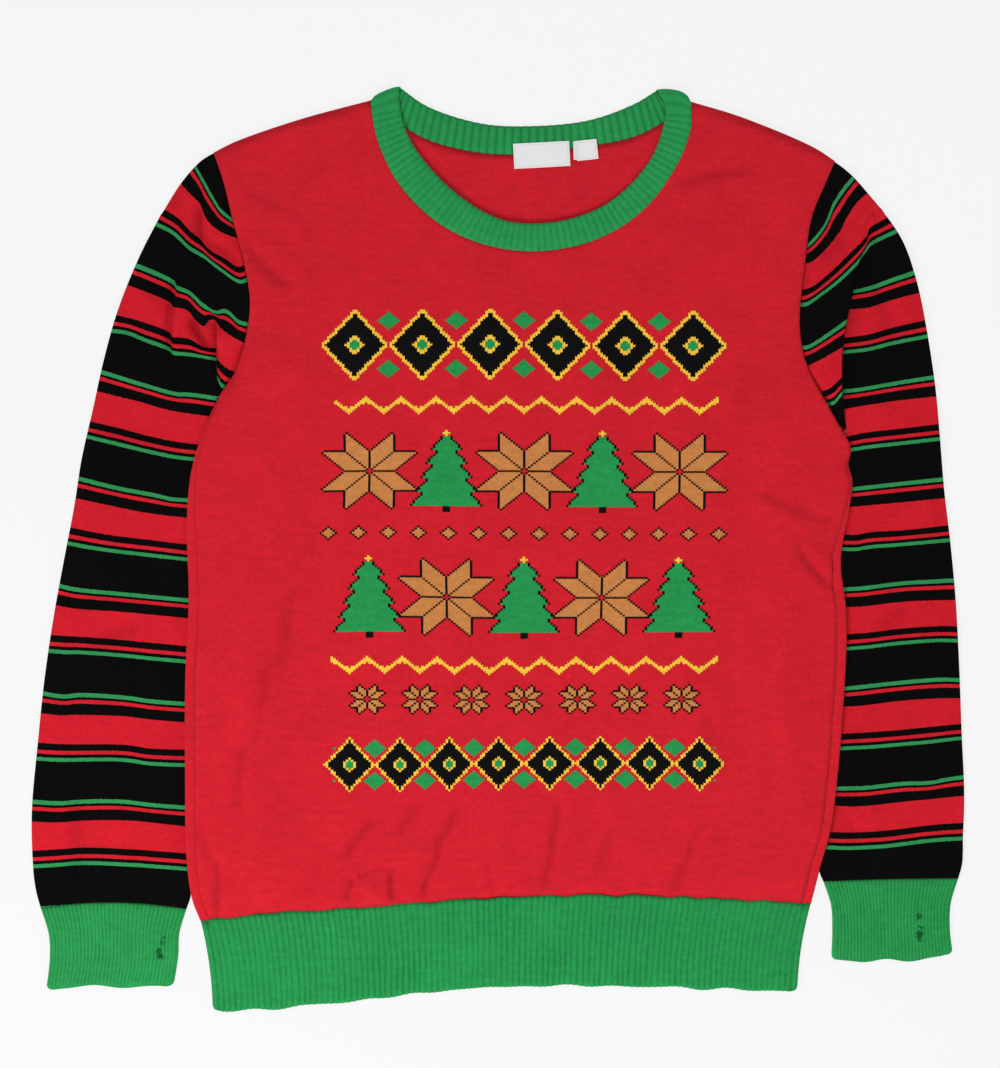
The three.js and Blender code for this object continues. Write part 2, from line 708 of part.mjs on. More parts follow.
function sleeve(rows, armPoints, fold, outward) {
  const spans = ROWS_ARMHOLE;
  const seam = offsetPolyline([...armPoints].reverse(), outward * SEAM_GAP);
  const shoulder = seam[1].clone().sub(seam[0]).normalize();
  seam[0].addScaledVector(shoulder, EDGE_PULL);
  const lip = alongTable(fold, spans);
  const foot = offsetPolyline(lip, outward * FOLD_FOOT);
  const middle = seam.map((point, j) => point.clone().lerp(lip[j], 0.5));
  const flat = () => MIDDLE_LOW;
  const lifted = (share) => MIDDLE_HIGH + seamLift(share);
  const sections = [
    { upper: seam, levels: lifted, lowerLevels: (share) => MIDDLE_LOW + seamLift(share) },
    { upper: middle, levels: lifted, lowerLevels: (share) => MIDDLE_LOW + seamLift(share) / 2 },
    { upper: lip, levels: lifted, lowerLevels: flat },
    { upper: foot, levels: () => MIDDLE_HIGH, lowerLevels: flat },
  ];
  for (const row of rows) {
    sections.push({
      upper: sectionLine(row, spans, EDGE_PULL),
      levels: () => MIDDLE_HIGH,
      lowerLevels: flat,
    });
  }
  const last = sections[sections.length - 1];
  last.upper.forEach((point) => { point.y += SEAM_GAP; });
  return tube(sections, { half: CLOTH / 2, lowerCount: spans, ribs: false });
}

function cuff(rows) {
  const sections = rows.map((row) => ({
    upper: sectionLine(row, CUFF_RIBS * RIB_STEPS, EDGE_PULL),
    levels: () => FRONT_LEVEL + RIB_WALL / 2,
    lowerLevels: () => RIB_WALL / 2,
  }));
  return tube(sections, {
    half: RIB_WALL / 2, lowerCount: CUFF_PLAIN_COLUMNS, ribs: true,
  });
}

// The collar ring: its front half from left to right, over the right fold, then its back half
function collar() {
  const neckColumns = (neck) => topEdge(neck).slice(COLUMNS_SHOULDER, COLUMNS_SHOULDER + COLUMNS_NECK + 1);
  const frontSeam = offsetPolyline(neckColumns(neckFront), SEAM_GAP);
  const backSeam = offsetPolyline(neckColumns(neckBack), SEAM_GAP);
  const frontFree = alongTable(freeFront, COLLAR_EDGE_POINTS);
  const backFree = alongTable(freeBack, COLLAR_EDGE_POINTS);
  const lowMiddle = RIB_WALL / 2;
  const highMiddle = lowMiddle + 2 * FOLD_RADIUS;
  const seamMiddle = FRONT_LEVEL + COLLAR_STAND + RIB_WALL / 2;
  const half = RIB_WALL / 2;
  const columns = [];
  const frontColumns = COLLAR_FRONT_RIBS * RIB_STEPS;
  for (let k = 0; k <= frontColumns; k += 1) {
    const share = mix(FRONT_END, 1 - FRONT_END, k / frontColumns);
    const level = mix(highMiddle, seamMiddle, smooth(Math.min(share, 1 - share) / COLLAR_RISE_RUN));
    columns.push({
      seam: pointOnPolyline(frontSeam, share).setZ(level),
      free: pointOnPolyline(frontFree, share).setZ(level),
      rise: k % RIB_STEPS === 1 ? RIB_RISE : 0,
      face: V(0, 0, 1),
    });
  }
  // The ring turns over here from its front end to its back end, clear of the panels' corner
  const foldOver = (front, behind, outwardSign) => {
    const line = front.free.clone().sub(front.seam).setZ(0).normalize();
    const away = V(-line.y * outwardSign, line.x * outwardSign);
    const turns = [];
    for (let step = 1; step < ARC_STEPS; step += 1) turns.push(step / ARC_STEPS);
    return turns.map((turn) => {
      const angle = Math.PI * turn;
      const height = lowMiddle + FOLD_RADIUS + FOLD_RADIUS * Math.cos(angle);
      const bulge = FOLD_RADIUS * Math.sin(angle);
      const between = (end) => front[end].clone().lerp(behind[end], turn).setZ(height);
      const seam = between('seam').addScaledVector(line, COLLAR_CORNER * Math.sin(angle));
      const free = between('free').addScaledVector(away, bulge);
      const face = away.clone().multiplyScalar(Math.sin(angle)).setZ(Math.cos(angle));
      return { seam, free, rise: 0, face };
    });
  };
  const backColumns = COLLAR_BACK_RIBS * RIB_STEPS;
  const back = [];
  for (let k = 0; k <= backColumns; k += 1) {
    const share = mix(1 - BACK_END, BACK_END, k / backColumns);
    back.push({
      seam: pointOnPolyline(backSeam, share).setZ(lowMiddle),
      free: pointOnPolyline(backFree, share).setZ(lowMiddle),
      rise: k % RIB_STEPS === 1 ? -RIB_RISE : 0,
      face: V(0, 0, -1),
    });
  }
  const all = [
    ...columns,
    ...foldOver(columns[columns.length - 1], back[0], -1),
    ...back,
    ...foldOver(columns[0], back[back.length - 1], 1).reverse(),
  ];
  const skin = (column, side) => {
    const raised = side * column.rise > 0 ? Math.abs(column.rise) : 0;
    const shift = side * (half + raised);
    return [column.seam, column.free].map((point) => point.clone().addScaledVector(column.face, shift));
  };
  const rowsOf = (side) => {
    const pairs = all.map((column) => skin(column, side));
    return [pairs.map((pair) => pair[0]), pairs.map((pair) => pair[1])];
  };
  return wall(rowsOf(1), rowsOf(-1), true);
}

function label(row) {
  const tilt = THREE.MathUtils.degToRad(row.tilt);
  const right = V(Math.cos(tilt), Math.sin(tilt));
  const down = V(Math.sin(tilt), -Math.cos(tilt));
  const grid = (z) => [1, 0.5, 0].map((v) => [0, 0.5, 1].map((u) => {
    const point = V(row.across, row.up).addScaledVector(right, u * row.width);
    return point.addScaledVector(down, v * row.length).setZ(z);
  }));
  return wall(grid(LABEL_LEVEL + LABEL_THICK), grid(LABEL_LEVEL));
}

const group = new THREE.Group();
group.add(meshOf('body_front', bodyFront(), colours.red));
group.add(meshOf('body_back', bodyBack(), colours.red));
group.add(meshOf('hem_front', hemFront(), colours.green));
group.add(meshOf('hem_back', hemBack(), colours.green));

const leftSleeve = sleeve(sleeveLeft, armPointsLeft, sleeveFoldLeft, -1);
const rightSleeve = sleeve(sleeveRight, armPointsRight, sleeveFoldRight, 1);
group.add(meshOf('sleeve_left', wall(leftSleeve.inner, leftSleeve.outer, true), colours.stripe));
group.add(meshOf('sleeve_right', wall(rightSleeve.outer, rightSleeve.inner, true), colours.stripe));
const leftCuff = cuff(cuffLeft);
const rightCuff = cuff(cuffRight);
group.add(meshOf('cuff_left', wall(leftCuff.inner, leftCuff.outer, true), colours.green));
group.add(meshOf('cuff_right', wall(rightCuff.outer, rightCuff.inner, true), colours.green));
group.add(meshOf('collar', collar(), colours.green));
for (const row of labels) group.add(meshOf(row.name, label(row), colours.label));

// The outline's middle stands over the origin
const middle = new THREE.Box3().setFromObject(group).getCenter(new THREE.Vector3());
group.position.set(-middle.x, -middle.y, 0);

export default group;
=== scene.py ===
import math

import bpy
import numpy as np
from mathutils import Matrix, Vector


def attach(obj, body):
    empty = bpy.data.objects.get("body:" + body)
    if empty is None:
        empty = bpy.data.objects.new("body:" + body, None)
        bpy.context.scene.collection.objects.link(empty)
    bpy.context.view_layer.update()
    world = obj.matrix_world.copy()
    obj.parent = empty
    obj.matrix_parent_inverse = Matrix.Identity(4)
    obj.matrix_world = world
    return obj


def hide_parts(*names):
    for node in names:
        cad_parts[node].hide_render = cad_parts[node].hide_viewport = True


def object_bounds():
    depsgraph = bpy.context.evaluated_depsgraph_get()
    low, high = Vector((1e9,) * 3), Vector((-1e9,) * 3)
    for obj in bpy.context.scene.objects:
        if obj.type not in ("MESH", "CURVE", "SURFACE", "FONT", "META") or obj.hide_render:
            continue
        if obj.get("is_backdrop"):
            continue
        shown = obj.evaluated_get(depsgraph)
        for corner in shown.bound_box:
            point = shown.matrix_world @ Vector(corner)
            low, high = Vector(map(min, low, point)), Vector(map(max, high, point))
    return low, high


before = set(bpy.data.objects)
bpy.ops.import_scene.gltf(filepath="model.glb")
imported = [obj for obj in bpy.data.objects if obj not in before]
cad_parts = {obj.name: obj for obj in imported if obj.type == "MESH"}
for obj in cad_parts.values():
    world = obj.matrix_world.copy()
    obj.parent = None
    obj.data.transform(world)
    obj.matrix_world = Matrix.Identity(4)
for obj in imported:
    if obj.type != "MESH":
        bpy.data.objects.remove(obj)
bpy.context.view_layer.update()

# A knitted pullover laid flat, front up. Sizes are in millimetres and are turned into metres
# when a mesh is made. Left and right are the viewer's.
MM = 0.001
ORIGIN = np.array([-0.1, 1.05, 0.0])     # from the tables' origin to the middle of the outline

CLOTH = 1.8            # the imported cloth; the shells here stay on its levels
LAYER_GAP = 0.3        # between two layers
SHELL = 1.4            # thickness of the shells
FRONT_LEVEL = CLOTH + LAYER_GAP          # underside of the front layer
TUBE_HEIGHT = 2 * CLOTH + LAYER_GAP      # a flattened tube of two layers
LIFT = TUBE_HEIGHT + LAYER_GAP           # the body's sides lie this high, over the sleeves
SIDE_TURN = 6.0        # how far the back panel comes round onto the front
EDGE_RUN = 0.4         # the least length of cloth past that turn
EDGE_CURVE = 3.3       # length of cloth in the turned edge
SIDE_FLAT = 50.0       # width of the body that lies flat over the sleeve
SIDE_SLOPE = 46.0      # width over which it comes down off the sleeve
ARMHOLE_FLAT = 8.0     # width beside the armhole seam that keeps the seam's height
ARMHOLE_LIFT_END = 0.1     # share of the armhole, from the underarm, at full height
ARMHOLE_LIFT_RUN = 0.45    # share of it over which the body comes down
LIFT_START = -284.0    # the body's sides rise onto the sleeves from here
LIFT_RUN = 24.0
YOKE_SHARE = 4 / 7     # share of the armhole up to the yoke line
SEAM_DROP_START = 0.72     # share of the armhole, from the shoulder, where the sleeve goes down
SEAM_DROP_RUN = 0.14
FOLD_FOOT = 5.0        # plan width of the step off the sleeve's fold

RIB_WALL = 1.6         # the rib bands without their raised ribs
RIB_RISE = 0.9
HEM_RIBS = 98
CUFF_RIBS = 34
COLLAR_FRONT_RIBS = 68
COLLAR_BACK_RIBS = 40
COLLAR_STAND = 1.0     # the front half stands this far above the front layer
FOLD_RADIUS = 1.6      # half the height of the neck band's fold at each shoulder
HEM_ROUND = 4.5        # corners at the bottom of the hem and the cuffs

SIDE_LEFT = [(-232.1, -288.9), (-237.9, -273.0), (-242.4, -240.0), (-243.6, -173.5),
             (-243.4, -100.0), (-240.7, -36.2), (-242.2, 20.0), (-238.5, 62.0),
             (-227.5, 97.0), (-216.8, 119.8)]
SIDE_RIGHT = [(244.1, -275.7), (250.6, -248.0), (259.0, -217.9), (265.0, -170.0),
              (270.7, -90.0), (271.3, -50.2), (266.9, -8.0), (273.2, 30.0),
              (275.8, 54.0), (272.6, 67.0), (275.0, 77.0), (273.8, 82.4)]
ARMHOLE_LEFT = [(-216.8, 119.8), (-204.4, 138.5), (-196.6, 163.0), (-193.1, 192.0),
                (-197.6, 222.8), (-206.7, 257.1), (-213.7, 285.9), (-221.5, 309.3)]
ARMHOLE_RIGHT = [(273.8, 82.4), (258.0, 109.5), (240.0, 145.0), (234.9, 175.0),
                 (238.6, 217.0), (244.5, 259.0), (254.5, 284.0), (262.6, 302.6)]
SHOULDER_LEFT = [(-221.5, 309.3), (-205.0, 317.6), (-155.0, 335.0), (-98.2, 350.2)]
SHOULDER_RIGHT = [(149.6, 349.2), (190.0, 336.8), (245.0, 313.8), (262.6, 302.6)]
NECK_FRONT = [(-98.2, 350.2), (-96.7, 335.9), (-91.5, 315.0), (-75.7, 284.4),
              (-45.2, 254.7), (-7.0, 237.6), (35.5, 233.6), (79.6, 243.8),
              (113.1, 265.7), (137.5, 298.0), (149.3, 328.0), (149.6, 349.2)]
NECK_BACK = [(-98.2, 350.2), (-72.5, 328.8), (-49.1, 317.1), (-7.0, 308.3),
             (35.0, 309.5), (79.6, 315.6), (107.2, 322.0), (129.5, 333.5), (149.6, 349.2)]
FREE_FRONT = [(-77.2, 360.6), (-75.7, 339.8), (-65.5, 314.0), (-34.3, 278.9),
              (3.9, 256.7), (46.8, 255.5), (87.4, 271.1), (120.1, 306.2),
              (130.3, 343.0), (124.6, 358.2)]
FREE_BACK = [(-77.2, 360.6), (-54.6, 345.2), (-12.5, 332.0), (24.2, 330.0),
             (70.0, 334.4), (105.3, 346.8), (124.6, 358.2)]
HEM_SEAM = [(-232.1, -288.9), (-172.4, -282.6), (-112.0, -279.2), (-49.5, -274.1),
            (25.0, -270.2), (90.0, -269.2), (181.0, -272.3), (244.1, -275.7)]
HEM_EDGE = [(-223.5, -359.6), (-185.6, -357.6), (-115.4, -351.3), (-30.4, -342.3),
            (40.0, -339.6), (130.0, -340.6), (234.4, -344.0)]
HEM_WAIST = 0.55       # where the hem's sides bend, as a share of its height
HEM_BEND = 2.6

# Sleeve sections: outer x and y on the outline, inner x and y below the body, bow
SLEEVE_LEFT = [(-262.5, 262.0, -213.5, 112.5, 5), (-279.2, 229.8, -208.0, 106.0, 8),
               (-296.5, 187.5, -201.0, 99.0, 8), (-307.5, 149.0, -196.0, 90.0, 7),
               (-316.5, 108.0, -195.0, 74.0, 5), (-325.0, 70.0, -196.5, 50.0, 4),
               (-330.5, 34.0, -200.0, 22.0, 3), (-339.0, -11.0, -206.0, -19.0, 2),
               (-346.5, -53.0, -212.5, -58.0, 2), (-353.5, -101.0, -220.0, -104.0, 1),
               (-358.5, -149.0, -227.5, -152.0, 1), (-363.3, -204.0, -235.0, -206.0, 2),
               (-362.6, -243.0, -241.0, -246.0, 3), (-360.6, -263.0, -238.8, -266.0, 4),
               (-356.5, -278.8, -242.6, -279.6, 4.6)]
SLEEVE_RIGHT = [(299.0, 266.0, 268.0, 75.5, 4), (316.0, 240.0, 260.0, 69.0, 6),
                (327.5, 206.0, 251.0, 61.5, 7), (335.5, 166.0, 243.0, 54.0, 6),
                (341.5, 126.0, 236.5, 44.0, 5), (345.0, 88.0, 232.5, 31.0, 4),
                (348.5, 45.0, 231.0, 12.0, 4), (353.0, 6.0, 232.5, -16.0, 3),
                (357.0, -38.0, 236.0, -52.0, 2), (359.6, -87.0, 240.5, -96.0, 1),
                (361.5, -141.0, 245.0, -147.0, 1), (363.5, -192.0, 248.5, -196.0, 1),
                (362.4, -227.0, 250.4, -230.0, 1), (362.0, -244.0, 250.0, -249.0, 1),
                (358.8, -256.2, 253.5, -258.5, 1)]
FOLD_LEFT = [(-236.0, 299.5), (-232.5, 271.0), (-227.5, 236.0), (-223.9, 202.5),
             (-219.2, 174.0), (-218.0, 147.9), (-217.4, 130.0), (-215.8, 118.4)]
FOLD_RIGHT = [(289.5, 278.5), (287.2, 245.4), (280.0, 222.3), (273.2, 190.0),
              (268.5, 165.0), (266.8, 130.0), (269.6, 99.0), (272.4, 80.8)]
# The outline from the shoulder to the sleeve's first section, and the share of the fold's
# length where it starts to stand up
BROW_LEFT = [(-221.5, 309.3), (-234.9, 300.2), (-246.4, 287.3), (-254.5, 275.5), (-262.5, 262.0)]
BROW_RIGHT = [(262.6, 302.6), (276.1, 291.4), (288.5, 278.4), (299.0, 266.0)]
FOLD_START_LEFT = 0.62
FOLD_START_RIGHT = 0.16
CUFF_LEFT = [(-356.5, -278.8, -242.6, -279.6, 4.6), (-350.2, -300.0, -248.2, -299.0, 3),
             (-349.4, -318.0, -249.0, -316.0, 2), (-352.2, -342.6, -252.6, -341.0, 1.6)]
CUFF_RIGHT = [(358.8, -256.2, 253.5, -258.5, 1), (353.0, -276.0, 259.4, -277.0, 0),
              (352.4, -296.0, 260.4, -297.0, -1), (354.6, -316.0, 259.6, -319.5, -2.6)]

# Stripes: the line across the sleeve at each place in the striping, counted in repeats.
# A wide red band runs from a whole number to 0.27 past it.
BAND = 0.27
ABOVE = 0.183          # from the green line above a wide red band to the band's start
BELOW = 0.418          # from the band's start to the green line below it
REPEAT = 83.0          # length of one repeat
CAP_PLACE = 0.5        # the sleeve's top is one wide black band up to its seam
STRIPES_LEFT = [
    (1 - ABOVE, [(-235.6, 298.4), (-228.5, 285.9), (-220.7, 271.9), (-216.1, 264.5),
        (-207.5, 257.1)]),
    (1, [(-248.0, 285.9), (-240.2, 277.0), (-232.4, 269.6), (-228.5, 259.8), (-223.1, 252.4),
        (-212.9, 245.8), (-202.0, 242.3)]),
    (1 + BAND, [(-260.5, 265.7), (-248.0, 257.5), (-240.2, 248.9), (-232.4, 242.7),
        (-224.6, 233.7), (-212.9, 227.1), (-202.0, 220.4), (-196.6, 222.8)]),
    (1 + BELOW, [(-266.8, 254.0), (-252.7, 246.6), (-240.2, 234.9), (-228.5, 228.2),
        (-216.8, 218.9), (-201.2, 208.7), (-195.8, 209.9)]),
    (2 - ABOVE, [(-283.1, 222.0), (-271.4, 217.3), (-255.8, 210.3), (-251.5, 207.2),
        (-250.4, 204.4), (-240.2, 200.1), (-230.1, 190.8), (-219.2, 184.2), (-213.7, 186.1),
        (-209.0, 184.5), (-202.0, 177.5), (-195.0, 175.6)]),
    (2, [(-289.4, 206.4), (-271.4, 199.4), (-254.6, 191.7), (-253.5, 189.2), (-241.8, 186.1),
        (-234.8, 177.5), (-228.5, 173.6), (-224.6, 178.7), (-220.0, 178.7), (-216.1, 172.8),
        (-204.4, 164.3), (-195.8, 160.0)]),
    (2 + BAND, [(-297.2, 183.0), (-279.2, 178.3), (-255.1, 168.9), (-254.0, 166.2),
        (-240.2, 164.3), (-229.3, 158.0), (-217.6, 156.9)]),
    (2 + BELOW, [(-301.1, 170.5), (-288.6, 168.9), (-275.3, 163.5), (-254.9, 155.5),
        (-253.8, 153.7), (-235.6, 151.4), (-218.4, 148.3)]),
    (3 - ABOVE, [(-302.6, 136.6), (-279.2, 129.2), (-250.4, 121.4), (-240.2, 121.0),
        (-220.0, 118.2)]),
    (3, [(-304.2, 121.4), (-279.2, 115.1), (-255.8, 108.5), (-223.1, 103.4)]),
    (3 + BAND, [(-318.2, 100.3), (-294.8, 94.8), (-271.4, 88.6), (-248.0, 83.9), (-234.8, 82.4)]),
    (4 - ABOVE, [(-327.6, 55.8), (-294.8, 47.7), (-267.5, 42.6), (-254.3, 39.5), (-243.4, 38.7)]),
    (4, [(-329.9, 40.2), (-302.6, 34.4), (-271.4, 28.2), (-244.1, 25.0)]),
    (4 + BAND, [(-333.1, 17.6), (-302.6, 11.8), (-271.4, 7.9), (-243.4, 4.4)]),
    (5 - ABOVE, [(-343.2, -27.6), (-329.9, -30.7), (-290.9, -34.6), (-241.8, -39.3)]),
    (5, [(-344.8, -43.2), (-329.9, -45.9), (-294.8, -48.3), (-241.8, -53.4)]),
    (5 + BAND, [(-348.7, -66.2), (-310.4, -68.6), (-275.3, -71.7), (-242.6, -74.8)]),
    (6 - ABOVE, [(-354.1, -111.9), (-337.7, -114.2), (-326.0, -113.0), (-290.9, -115.0),
        (-271.4, -117.7), (-244.1, -120.0)]),
    (6, [(-355.7, -127.5), (-341.6, -129.0), (-326.0, -128.6), (-290.9, -129.8),
        (-271.4, -132.1), (-244.9, -134.5)]),
    (6 + BAND, [(-358.8, -150.1), (-337.7, -151.2), (-290.9, -151.6), (-271.4, -154.4),
        (-244.9, -155.5)]),
    (7 - ABOVE, [(-363.5, -196.1), (-341.6, -197.3), (-326.0, -196.1), (-294.8, -195.7),
        (-271.4, -198.4), (-242.6, -200.8)]),
    (7, [(-364.3, -211.7), (-345.5, -212.5), (-318.2, -210.9), (-287.0, -210.9), (-242.6, -215.6)]),
    (7 + BAND, [(-363.5, -234.3), (-349.4, -233.5), (-322.1, -231.6), (-287.0, -232.8),
        (-259.7, -234.7), (-242.6, -236.3)]),
]
FLAP_STRIPES_LEFT = STRIPES_LEFT[:6] + [
    (2 + BAND, [(-217.6, 147.9), (-212.9, 142.8), (-208.3, 140.1), (-203.6, 138.5)]),
    (2 + BELOW, [(-217.6, 132.3), (-215.3, 128.0), (-211.4, 125.7)]),
]
STRIPES_RIGHT = [
    (1 - ABOVE, [(239.5, 235.2), (247.3, 243.0), (255.8, 255.5), (261.3, 269.6), (269.1, 281.3),
        (276.9, 290.6)]),
    (1, [(238.7, 222.4), (244.9, 224.3), (255.1, 233.3), (266.0, 246.9), (273.0, 260.6),
        (280.8, 271.5), (288.6, 278.1)]),
    (1 + BAND, [(236.3, 202.5), (244.9, 205.2), (259.0, 216.5), (274.6, 231.7), (286.7, 243.4),
        (289.4, 250.5), (298.0, 255.9), (304.2, 259.4)]),
    (1 + BELOW, [(235.6, 190.8), (240.2, 191.2), (251.2, 198.6), (266.8, 210.7), (280.0, 223.9),
        (285.5, 231.7), (290.2, 238.0), (298.0, 242.3), (311.2, 248.5)]),
    (2 - ABOVE, [(274.6, 200.9), (290.2, 204.0), (305.8, 209.5), (323.7, 215.7)]),
    (2, [(274.6, 186.9), (288.6, 188.4), (305.8, 193.9), (329.2, 200.1)]),
    (2 + BAND, [(269.1, 165.0), (288.6, 167.8), (305.8, 172.8), (333.1, 179.1)]),
    (2 + BELOW, [(268.3, 153.7), (288.6, 156.1), (305.8, 160.4), (336.2, 166.6)]),
    (3 - ABOVE, [(267.5, 123.3), (282.4, 124.9), (313.6, 130.3), (340.9, 134.6)]),
    (3, [(267.5, 108.9), (282.4, 111.6), (313.6, 116.3), (342.4, 119.4)]),
    (3 + BAND, [(272.2, 88.6), (288.6, 91.7), (313.6, 94.5), (343.2, 98.0)]),
    (4 - ABOVE, [(276.1, 47.3), (317.5, 51.9), (347.9, 55.1)]),
    (4, [(274.6, 33.2), (313.6, 36.7), (349.4, 40.2)]),
    (4 + BAND, [(269.1, 12.2), (278.5, 11.8), (288.6, 13.7), (313.6, 15.3), (351.8, 19.2)]),
    (5 - ABOVE, [(270.7, -30.7), (282.4, -30.0), (313.6, -26.1), (354.9, -23.7)]),
    (5, [(272.2, -44.8), (282.4, -44.4), (317.5, -40.5), (356.5, -39.3)]),
    (5 + BAND, [(274.6, -65.4), (288.6, -64.3), (313.6, -61.2), (344.8, -59.2), (358.8, -59.6)]),
    (6 - ABOVE, [(270.7, -108.0), (305.8, -104.1), (344.8, -100.9), (360.4, -101.3)]),
    (6, [(269.1, -122.4), (282.4, -121.6), (313.6, -117.7), (344.8, -115.8), (360.4, -115.8)]),
    (6 + BAND, [(268.3, -143.1), (305.8, -140.7), (340.9, -137.2), (361.9, -135.3)]),
    (7 - ABOVE, [(262.9, -186.0), (286.3, -185.2), (313.6, -182.1), (336.2, -181.3),
        (348.7, -178.9), (362.7, -177.0)]),
    (7, [(262.9, -199.6), (278.5, -200.0), (325.3, -195.3), (363.5, -191.8)]),
    (7 + BAND, [(256.6, -219.5), (274.6, -219.9), (305.8, -217.9), (337.0, -214.0),
        (362.7, -212.5)]),
]
FLAP_STRIPES_RIGHT = STRIPES_RIGHT[:4] + [
    (2 - ABOVE, [(235.6, 157.2), (241.8, 158.0), (255.8, 166.6), (269.1, 176.0)]),
    (2, [(240.2, 142.8), (251.2, 147.9), (267.5, 157.2)]),
    (2 + BAND, [(250.4, 122.9), (257.4, 125.3), (266.8, 133.8)]),
    (2 + BELOW, [(256.6, 113.2), (261.3, 114.3), (266.0, 119.8)]),
]
# Where each colour starts within a repeat
STRIPE_STOPS = [(0.0, "red"), (0.270, "black"), (0.335, "red"), (0.368, "black"),
                (0.400, "stripe_green"), (0.436, "black"), (0.797, "stripe_green"), (0.836, "black"),
                (0.863, "red"), (0.898, "black")]

# Folds of the front: two ends, width and height; a trough is below zero
FRONT_CREASES = [
    ((-201, 246), (-160, 202), 5.0, -1.7), ((-192, 249), (-152, 208), 7, 0.9),
    ((-199, 141), (-221, 108), 3.4, -1.5), ((-190, 140), (-212, 104), 5.5, 0.9),
    ((-198, 280), (-166, 263), 5, -0.9), ((-166, 264), (-142, 243), 5, -0.8),
    ((200, 300), (138, 280), 5.0, -1.9), ((196, 291), (146, 272), 7, 1.1),
    ((204, 46), (226, 31), 4.2, -1.6),
    ((224, 32), (262, 22), 4.2, -1.1), ((205, 34), (240, 18), 6, 1.1),
    ((233, 5), (261, -33), 3.0, -2.2), ((241, 6), (266, -26), 4.5, 1.2),
    ((232, -116), (246, -119), 3, -0.8), ((-153, 36), (-138, -6), 6, -1.0),
    ((-144, 38), (-129, -4), 7, 0.7), ((-158, -26), (-162, -62), 5, -1.3),
    ((-161, -56), (-176, -94), 5, -1.3), ((-174, -88), (-195, -156), 5, -1.1),
    ((-194, -148), (-204, -204), 4.2, -1.4), ((-150, -30), (-153, -64), 7, 0.8),
    ((-165, -90), (-186, -158), 7, 0.8), ((-187, -164), (-196, -204), 5, 0.9),
    ((-95, -206), (-117, -240), 3.6, -1.7), ((-88, -208), (-108, -240), 4.5, 1.2),
    ((-114.5, -254), (-117, -273), 2.4, -2.2), ((-109, -256), (-98, -249), 2.4, -1.5),
    ((-98, -249), (-83, -249), 2.4, -1.2), ((-81, -248), (-83.5, -273), 2.5, -2.4),
    ((-98, -258), (-98, -272), 5.5, 1.5), ((-64, -196), (-75, -222), 3.8, -1.1),
    ((-33, -198), (-46, -236), 3.4, -1.8), ((-45, -231), (-57, -271), 3.0, -2.3),
    ((-26, -202), (-49, -268), 5, 1.3), ((-5.5, -244), (-6, -264), 3, -1.1),
    ((47, -194), (41, -230), 3.2, -1.9), ((41.5, -225), (36, -264), 3.4, -1.7),
    ((54, -196), (44, -262), 5.5, 1.2), ((86, -216), (80, -256), 4, -0.8),
    ((161, -207), (149, -238), 3.8, -1.7), ((150, -233), (139, -268), 3.8, -1.6),
    ((170, -206), (150, -266), 6, 1.2), ((161, -127), (167, -156), 5, -0.8),
    ((-232, -210), (-222, -246), 3.4, -1.2), ((-222, -241), (-216.5, -286), 2.6, -2.4),
    ((-214, -236), (-208, -282), 4.5, 1.2), ((-189, -238), (-182, -276), 5, 0.7),
    ((-139, -226), (-142, -268), 4.5, -0.8), ((4, -232), (8, -264), 5, 0.8),
    ((110, -206), (106, -262), 6, 0.7), ((206, -140), (214, -240), 8, -0.5),
    ((226, -40), (234, -190), 8, 0.8), ((236, -205), (226, -268), 5, 0.8),
    ((-205, 60), (-200, -70), 9, 0.9), ((-178, 170), (-170, 110), 8, 0.7),
    ((216, 215), (208, 150), 8, 0.8), ((196, 150), (190, 90), 8, -0.6),
    ((-140, 196), (-132, 120), 9, 0.6), ((176, 60), (182, -60), 9, 0.7),
]
SLEEVE_CREASES = [
    ((-251.5, 214), (-253.5, 148), 3.5, -1.8), ((-245.5, 210), (-247.5, 150), 4.5, 1.6),
    ((-238, 182), (-225.5, 156), 3.5, -2.2), ((-224, 176), (-222, 160), 6, 1.8),
    ((-232, 268), (-229, 238), 4.5, -1.6), ((-229, 240), (-200, 220), 4.5, -1.5),
    ((-222, 262), (-216, 240), 6, 1.2), ((-246, 292), (-254, 262), 6, -0.9),
    ((-262, 198), (-272, 130), 8, 1.2), ((-282, 224), (-262, 176), 8, 1.0),
    ((-300, 150), (-262, 112), 8, 1.0), ((-306, 96), (-262, 80), 7, -0.9),
    ((-322, -52), (-276, -40), 7, 1.1), ((-318, -72), (-270, -62), 6, -1.1),
    ((-270, -20), (-262, -120), 7, 1.0), ((-300, -170), (-292, -262), 8, 1.0),
    ((-330, -190), (-334, -270), 7, -1.0), ((-266, -210), (-270, -272), 7, 1.0),
    ((296, 240), (284, 246), 5, -1.5), ((300, 232), (320, 180), 7, 1.0),
    ((292, 212), (302, 160), 6, -1.0), ((316, -20), (288, -36), 7, 1.1),
    ((322, -46), (292, -60), 6, -1.1), ((306, 92), (286, 40), 8, 0.9),
    ((336, 70), (328, -8), 8, 0.9), ((312, -120), (306, -190), 8, 0.8),
    ((290, -185), (300, -240), 7, 1.1), ((268, -196), (284, -214), 5, 1.2),
    ((276, -140), (282, -236), 6, -0.9), ((338, -150), (340, -236), 8, 0.8),
    ((268, 246), (252, 226), 6, -1.3), ((262, 252), (246, 236), 6, 1.0),
]

# Tucks of the left sleeve, deep on the left of their line and sharp on its right
SLEEVE_TUCKS = [
    ((-250.2, 216), (-254.8, 146), 6.0, 1.6), ((-239.5, 184), (-224.0, 156), 4.0, 2.4),
    ((-231.5, 270), (-230.0, 236), 5.0, 1.3),
]

STITCH_WIDE = 1.95     # one stitch of the chest design
STITCH_TALL = 1.56


